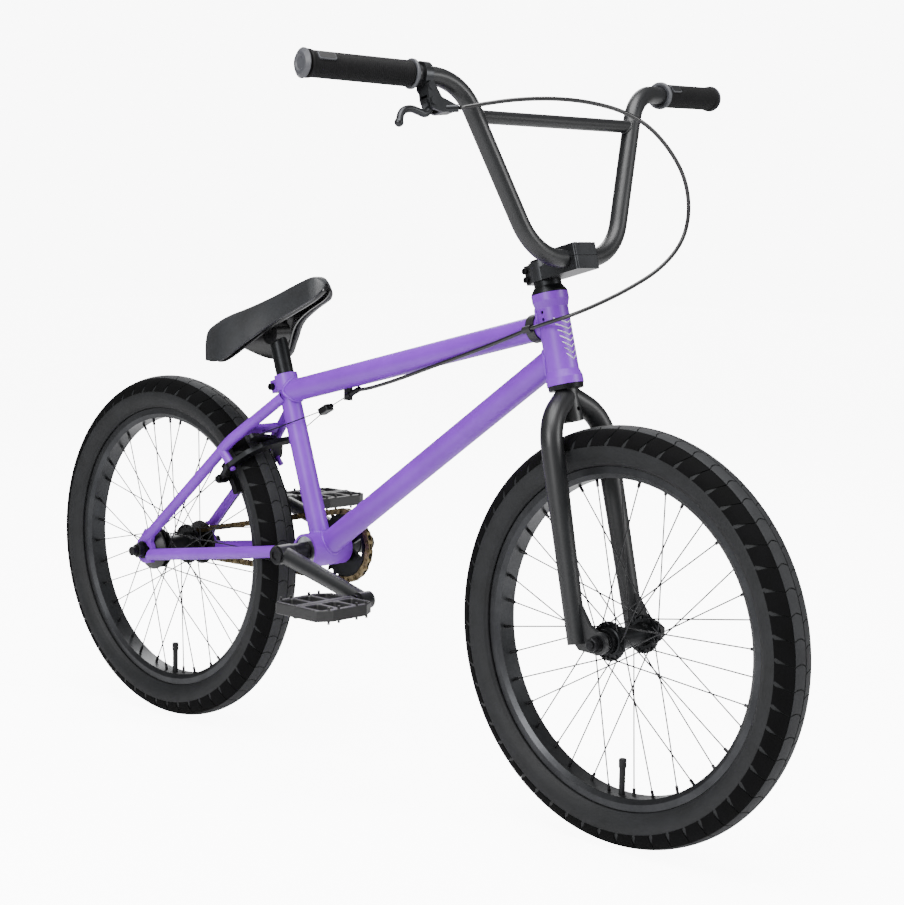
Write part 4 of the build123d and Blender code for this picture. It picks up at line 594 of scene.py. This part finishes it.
for name, side in (("right", -1), ("left", 1)):
    bend = Vector((BAR_BEND.x, side * BAR_BEND.y, BAR_BEND.z))
    tip = Vector((BAR_END.x, side * BAR_END.y, BAR_END.z))
    way = (tip - bend).normalized()
    start = bend + way * ((GRIP_IN - BAR_BEND.y) / abs(way.y))
    length = (GRIP_OUT - GRIP_IN) / abs(way.y)
    outline = [(0, 0.0112), (0, 0.0142)]
    count = int((length - 0.006) / RIB_PITCH)
    for rib in range(count):
        foot = 0.001 + rib * RIB_PITCH
        outline += [
            (foot, 0.0141),
            (foot + RIB_PITCH * 0.18, 0.0149),
            (foot + RIB_PITCH * 0.5, 0.0151),
            (foot + RIB_PITCH * 0.82, 0.0149),
        ]
    outline += [
        (length - 0.0045, 0.0141),
        (length - 0.0040, 0.0160),
        (length - 0.0010, 0.0163),
        (length - 0.0002, 0.0155),
        (length, 0.0112),
    ]
    grip_mesh = turned_along(start, way, outline)
    grip = piece(name + "_grip_ribs", grip_mesh, grip_rubber, "steering")
    flange_outline = [
        (-0.0042, 0.0112),
        (-0.0042, 0.0166),
        (-0.0036, 0.0174),
        (-0.0012, 0.0176),
        (-0.0004, 0.0168),
        (-0.0002, 0.0112),
    ]
    flange_mesh = turned_along(start, way, flange_outline)
    piece(name + "_grip_flange", flange_mesh, grey_plastic, "steering")
    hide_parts("grips")
    badge_place = start + way * (length * (0.86 if side < 0 else 0.14))
    facing = (FACING - way * FACING.dot(way)).normalized()
    badge_turn = Matrix((way.cross(facing), way, facing)).transposed().to_4x4()
    for label, size, rise, material in (
        ("badge", (0.010, 0.023, 0.0036), 0.0144, grey_plastic),
        ("badge_face", (0.0076, 0.0206, 0.0036), 0.0147, black_plastic),
    ):
        badge_mesh = bmesh.new()
        bmesh.ops.create_cube(badge_mesh, size=1)
        bmesh.ops.scale(badge_mesh, vec=size, verts=badge_mesh.verts)
        upright = [
            edge
            for edge in badge_mesh.edges
            if abs((edge.verts[0].co - edge.verts[1].co).z) > size[2] / 2
        ]
        bmesh.ops.bevel(
            badge_mesh, geom=upright, offset=0.002, segments=4, profile=0.5, affect="EDGES", material=-1
        )
        lift = Matrix.Translation(badge_place + facing * rise)
        bmesh.ops.transform(badge_mesh, matrix=lift @ badge_turn, verts=badge_mesh.verts)
        piece(name + "_grip_" + label, badge_mesh, material, "steering", False)
print("grip of", count, "ribs,", round(length, 3), "m long")

# %% [markdown]
# The saddle is a padded shell. Its width, crown and lower edge are known at eight places along
# it, and a smooth curve runs through them. Across, it is nearly flat on top with round sides. Two
# sewn seams run along the sides of the top panel and one crosses the tail.

# %% Saddle
SADDLE_PIVOT = Vector((-0.203, 0, 0.592))
SADDLE_TILT = math.radians(22)
SADDLE_FORWARD = Vector((math.cos(SADDLE_TILT), 0, math.sin(SADDLE_TILT)))
SADDLE_UP = Vector((-math.sin(SADDLE_TILT), 0, math.cos(SADDLE_TILT)))
SADDLE_ROWS = [
    (-118, 38, 39, 12),
    (-101, 58, 46, -7),
    (-62, 66, 48, -20),
    (-20, 51, 46, -8),
    (20, 33, 46, 4),
    (60, 24, 47, 9),
    (98, 20, 46, 12),
    (116, 13, 40, 18),
]
NOSE = 118
TAIL = -125
NOSE_TURN = 107
TAIL_TURN = -100
COVER_THICKNESS = 7.5
SIDE_SEAM = 0.92
TAIL_SEAM = -97


def between(rows, place):
    """The rows' values at a place, on a smooth curve through them."""
    index = 0
    while index < len(rows) - 2 and place > rows[index + 1][0]:
        index += 1
    near = [rows[max(0, min(len(rows) - 1, index + step))] for step in (-1, 0, 1, 2)]
    share = min(1.0, max(0.0, (place - near[1][0]) / (near[2][0] - near[1][0])))
    values = []
    for a, b, c, d in zip(*near):
        values.append(
            b + 0.5 * share * (c - a + share * (2 * a - 5 * b + 4 * c - d + share * (3 * (b - c) + d - a)))
        )
    return values[1:]


def saddle_place(along, turn, depth=0.0):
    """A point on the cover, from its place along the saddle and its angle across it."""
    half, top, low = between(SADDLE_ROWS, max(SADDLE_ROWS[0][0], min(SADDLE_ROWS[-1][0], along)))
    shrink = 1.0
    if along > NOSE_TURN:
        shrink = math.sqrt(max(0.0, 1 - ((along - NOSE_TURN) / (NOSE - NOSE_TURN)) ** 2))
    if along < TAIL_TURN:
        shrink = math.sqrt(max(0.0, 1 - ((along - TAIL_TURN) / (TAIL - TAIL_TURN)) ** 2))
    low += (top - low) * 0.5 * (1 - shrink)
    across = math.sin(turn)
    rise = math.cos(turn)
    wide = (half - depth) * math.copysign(abs(across) ** 0.86, across) * (0.14 + 0.86 * shrink)
    middle = low + (top - low) * 0.42
    high = middle + (top - depth - middle) * rise**0.72 if rise > 0 else middle
    drop = 1 - abs(across) ** 6
    share = drop * shrink + (1 - drop) * 0.02 if abs(across) > 0.2 else shrink
    high = low + (high - low) * share
    return SADDLE_PIVOT + (SADDLE_FORWARD * along + SADDLE_UP * high + Vector((0, wide, 0))) * MM


ALONG_STEPS = 110
ACROSS_STEPS = 80
saddle_mesh = bmesh.new()
shell = []
for i in range(ALONG_STEPS + 1):
    along = TAIL + 0.4 + (NOSE - TAIL - 0.8) * i / ALONG_STEPS
    ring = []
    for j in range(ACROSS_STEPS + 1):
        turn = math.pi / 2 * (2 * j / ACROSS_STEPS - 1)
        seam = math.exp(-(((abs(turn) - SIDE_SEAM) / 0.026) ** 2)) * 0.7
        seam += math.exp(-(((along - TAIL_SEAM - 10 * math.cos(turn)) / 1.3) ** 2)) * 0.5
        ring.append(saddle_mesh.verts.new(saddle_place(along, turn) - SADDLE_UP * seam * MM))
    for j in range(ACROSS_STEPS, -1, -4):
        turn = math.pi / 2 * (2 * j / ACROSS_STEPS - 1) * 0.97
        lining = saddle_place(along, turn, COVER_THICKNESS) + SADDLE_UP * MM * 0.5
        ring.append(saddle_mesh.verts.new(lining))
    shell.append(ring)
for first, second in zip(shell, shell[1:]):
    for j in range(len(first)):
        saddle_mesh.faces.new((first[j - 1], first[j], second[j], second[j - 1]))
for ring in (shell[0], shell[-1]):
    saddle_mesh.faces.new(ring)
bmesh.ops.recalc_face_normals(saddle_mesh, faces=saddle_mesh.faces)
cover = piece("saddle_cover", saddle_mesh, saddle_cover, "frame")
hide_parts("saddle_pad")
print("saddle cover:", len(cover.data.polygons), "faces")

# %% [markdown]
# The frame is welded by hand, and each weld is a row of small overlapping pools. The seam between
# two tubes follows where one cylinder meets the other, so that line is worked out point by point,
# and a bead whose thickness rises and falls is laid along it.

# %% Weld beads
BEAD = 0.0023
POOL_STEP = 0.0026
HEAD_BOTTOM = Vector((0.329, 0, 0.555))
HEAD_UP = Vector((-0.2588, 0, 0.9659))
SEAT_WAY = Vector((-0.3256, 0, 0.9455))
SHELL_CENTRE = Vector((-0.1065, 0, 0.295))


def seam_line(start, way, radius, other, other_way, other_radius, count=96):
    """The closed line where a tube's skin meets another tube's skin, nearest to the tube's start."""
    way = way.normalized()
    side = way.orthogonal().normalized()
    third = way.cross(side)
    line = []
    for index in range(count):
        turn = 2 * math.pi * index / count
        foot = start + (side * math.cos(turn) + third * math.sin(turn)) * radius
        gap = foot - other
        gap -= other_way * gap.dot(other_way)
        travel = way - other_way * way.dot(other_way)
        a = travel.dot(travel)
        b = gap.dot(travel)
        c = gap.dot(gap) - other_radius**2
        inside = b * b - a * c
        if inside <= 0:
            return []
        line.append(foot + way * ((-b + math.sqrt(inside)) / a))
    return line


def weld(name, line, material, body, thickness=BEAD):
    """A rippled bead along a closed line."""
    length = sum((line[i] - line[i - 1]).length for i in range(len(line)))
    pools = max(8, round(length / POOL_STEP))
    curve = bpy.data.curves.new(name, "CURVE")
    curve.dimensions = "3D"
    curve.bevel_depth = thickness
    curve.bevel_resolution = 3
    spline = curve.splines.new("POLY")
    count = pools * 4
    spline.points.add(count - 1)
    reach = [0.0]
    for i in range(len(line)):
        reach.append(reach[-1] + (line[(i + 1) % len(line)] - line[i]).length)
    index = 0
    for step in range(count):
        target = reach[-1] * step / count
        while reach[index + 1] < target:
            index += 1
        share = (target - reach[index]) / (reach[index + 1] - reach[index])
        place = line[index].lerp(line[(index + 1) % len(line)], share)
        spline.points[step].co = (*place, 1.0)
        spline.points[step].radius = (1.0, 0.97, 0.84, 0.95)[step % 4]
    spline.use_cyclic_u = True
    return piece(name, mesh_of(curve), material, body)


top_way = Vector((0.9711, 0, 0.2389))
down_front = HEAD_BOTTOM + HEAD_UP * 0.038
down_way = (down_front - SHELL_CENTRE).normalized()
TUBE_WELDS = [
    ("head_top_weld", HEAD_BOTTOM + HEAD_UP * 0.085, -top_way, 0.0159, HEAD_BOTTOM, HEAD_UP, 0.0205),
    ("head_down_weld", down_front, -down_way, 0.0165, HEAD_BOTTOM, HEAD_UP, 0.0207),
    ("seat_shell_weld", SHELL_CENTRE, SEAT_WAY, 0.0143, SHELL_CENTRE, Vector((0, 1, 0)), 0.024),
    ("down_shell_weld", SHELL_CENTRE, down_way, 0.0165, SHELL_CENTRE, Vector((0, 1, 0)), 0.024),
    ("top_seat_weld", SHELL_CENTRE + SEAT_WAY * 0.2256, top_way, 0.0159, SHELL_CENTRE, SEAT_WAY, 0.0168),
]
for name, start, way, radius, other, other_way, other_radius in TUBE_WELDS:
    line = seam_line(start, way, radius, other, other_way, other_radius)
    if line:
        weld(name, line, purple, "frame")
    print(name, len(line), "points")

BAR_FOOT = Vector((0.3394, 0.073, 0.7095))
CROSSBAR_END = Vector((0.3037, 0.1445, 0.8735))
for name, side in (("right", -1), ("left", 1)):
    flip = Vector((1, side, 1))
    upper = (BAR_BEND - BAR_FOOT) * flip
    line = seam_line(
        CROSSBAR_END * flip, Vector((0, -side, 0)), 0.008, BAR_FOOT * flip, upper.normalized(), 0.0112, 64
    )
    if line:
        weld(name + "_crossbar_weld", line, black_paint, "steering", 0.0016)
    print(name, "crossbar weld:", len(line), "points")

# %% [markdown]
# The head tube carries a printed badge, here a plain stack of chevrons. Each stripe is laid on the
# paint by finding the nearest point of the tube below it.

# %% Head badge
CHEVRONS = 7
CHEVRON_STEP = 0.0075
STRIPE = 0.0017
head_front = Vector((HEAD_UP.z, 0, -HEAD_UP.x))
badge_mesh = bmesh.new()
for index in range(CHEVRONS):
    lines = []
    for edge in (0, STRIPE):
        line = []
        for step in range(-12, 13):
            turn = math.radians(2.2 * step * (1 + 0.16 * index))
            height = 0.028 + CHEVRON_STEP * index + edge + 0.0006 * abs(step)
            way = head_front * math.cos(turn) + Vector((0, math.sin(turn), 0))
            found = parts["head_tube"].closest_point_on_mesh(HEAD_BOTTOM + HEAD_UP * height + way * 0.026)
            line.append(badge_mesh.verts.new(found[1] + found[2] * 0.00015))
        lines.append(line)
    for k in range(len(lines[0]) - 1):
        badge_mesh.faces.new((lines[0][k], lines[0][k + 1], lines[1][k + 1], lines[1][k]))
bmesh.ops.solidify(badge_mesh, geom=badge_mesh.faces[:], thickness=0.0002)
bmesh.ops.recalc_face_normals(badge_mesh, faces=badge_mesh.faces)
piece("head_badge", badge_mesh, white_ink, "frame")

# %% [markdown]
# Every part of the engineering model now gets its finish. The record says which slot each node
# belongs to, and a few nodes take a finish of their own.

# %% Finishes on the model
SLOT_FINISH = {
    "frame_paint": purple,
    "black_paint": black_paint,
    "black_alloy": black_alloy,
    "bright_steel": zinc_steel,
    "dark_steel": dark_steel,
    "chain_bronze": chain_steel,
    "spoke_black": spoke_steel,
    "tyre_rubber": side_rubber,
    "tube_rubber": side_rubber,
    "grip_rubber": grip_rubber,
    "pad_rubber": grip_rubber,
    "black_plastic": black_plastic,
    "grey_plastic": grey_plastic,
    "saddle_skin": saddle_cover,
    "housing": housing_plastic,
}
OWN_FINISH = {"saddle_base": base_plastic}
for name in ("front_rim", "rear_rim", "stem_body", "stem_cap", "lever_bracket", "brake_lever"):
    OWN_FINISH[name] = satin_alloy
node_slots = {entry["node"]: entry["material_slot"] for entry in frame["record"]["subparts"]}
for name, part in parts.items():
    chosen = OWN_FINISH.get(name, SLOT_FINISH[node_slots[name]])
    for place in part.material_slots:
        place.material = chosen

# %% [markdown]
# The bike stands on a pale floor in a soft white studio. A large overhead panel makes the broad
# highlights on the tubes, and two upright ones separate the dark parts from each other.

# %% Floor and light
FLOOR_GLOW = 9.0
BACKDROP_GLOW = 9.0
ROOM_GLOW = 0.22
floor_mesh = bmesh.new()
bmesh.ops.create_grid(floor_mesh, x_segments=1, y_segments=1, size=12)
floor_data = bpy.data.meshes.new("studio_floor")
floor_mesh.to_mesh(floor_data)
floor_mesh.free()
floor_paint, tree, shader = finish("studio_floor_paint", "#F4F4F5", 0.0, 0.8)
rays = add(tree, "LightPath")
glow = add(tree, "Math", {0: rays.outputs["Is Camera Ray"], 1: FLOOR_GLOW}, operation="MULTIPLY")
shader.inputs["Emission Color"].default_value = linear("#FFFFFF")
tree.links.new(glow.outputs[0], shader.inputs["Emission Strength"])
floor_data.materials.append(floor_paint)
floor = bpy.data.objects.new("studio_floor", floor_data)
floor.location.z = -0.0005
bpy.context.scene.collection.objects.link(floor)

for name, place, size, power, aim in (
    ("overhead", (0.4, -0.6, 3.0), 2.6, 190, (0, 0, 0.3)),
    ("key", (0.8, -3.6, 2.2), 1.6, 160, (0, 0, 0.5)),
    ("side", (3.2, 1.4, 1.6), 1.2, 70, (0, 0, 0.5)),
    ("back", (-2.4, 2.2, 2.4), 1.6, 60, (0, 0, 0.5)),
):
    lamp = bpy.data.lights.new(name, "AREA")
    lamp.shape = "DISK"
    lamp.size = size
    lamp.energy = power
    holder = bpy.data.objects.new(name, lamp)
    holder.location = place
    holder.rotation_euler = (Vector(aim) - Vector(place)).to_track_quat("-Z", "Y").to_euler()
    bpy.context.scene.collection.objects.link(holder)
world = bpy.data.worlds.new("studio")
world.use_nodes = True
sky = world.node_tree
rays = add(sky, "LightPath")
shade = add(
    sky, "MapRange", {"Value": rays.outputs["Is Camera Ray"], "To Min": ROOM_GLOW, "To Max": BACKDROP_GLOW}
)
sky.nodes["Background"].inputs["Color"].default_value = linear("#FFFFFF")
sky.links.new(shade.outputs[0], sky.nodes["Background"].inputs["Strength"])
bpy.context.scene.world = world
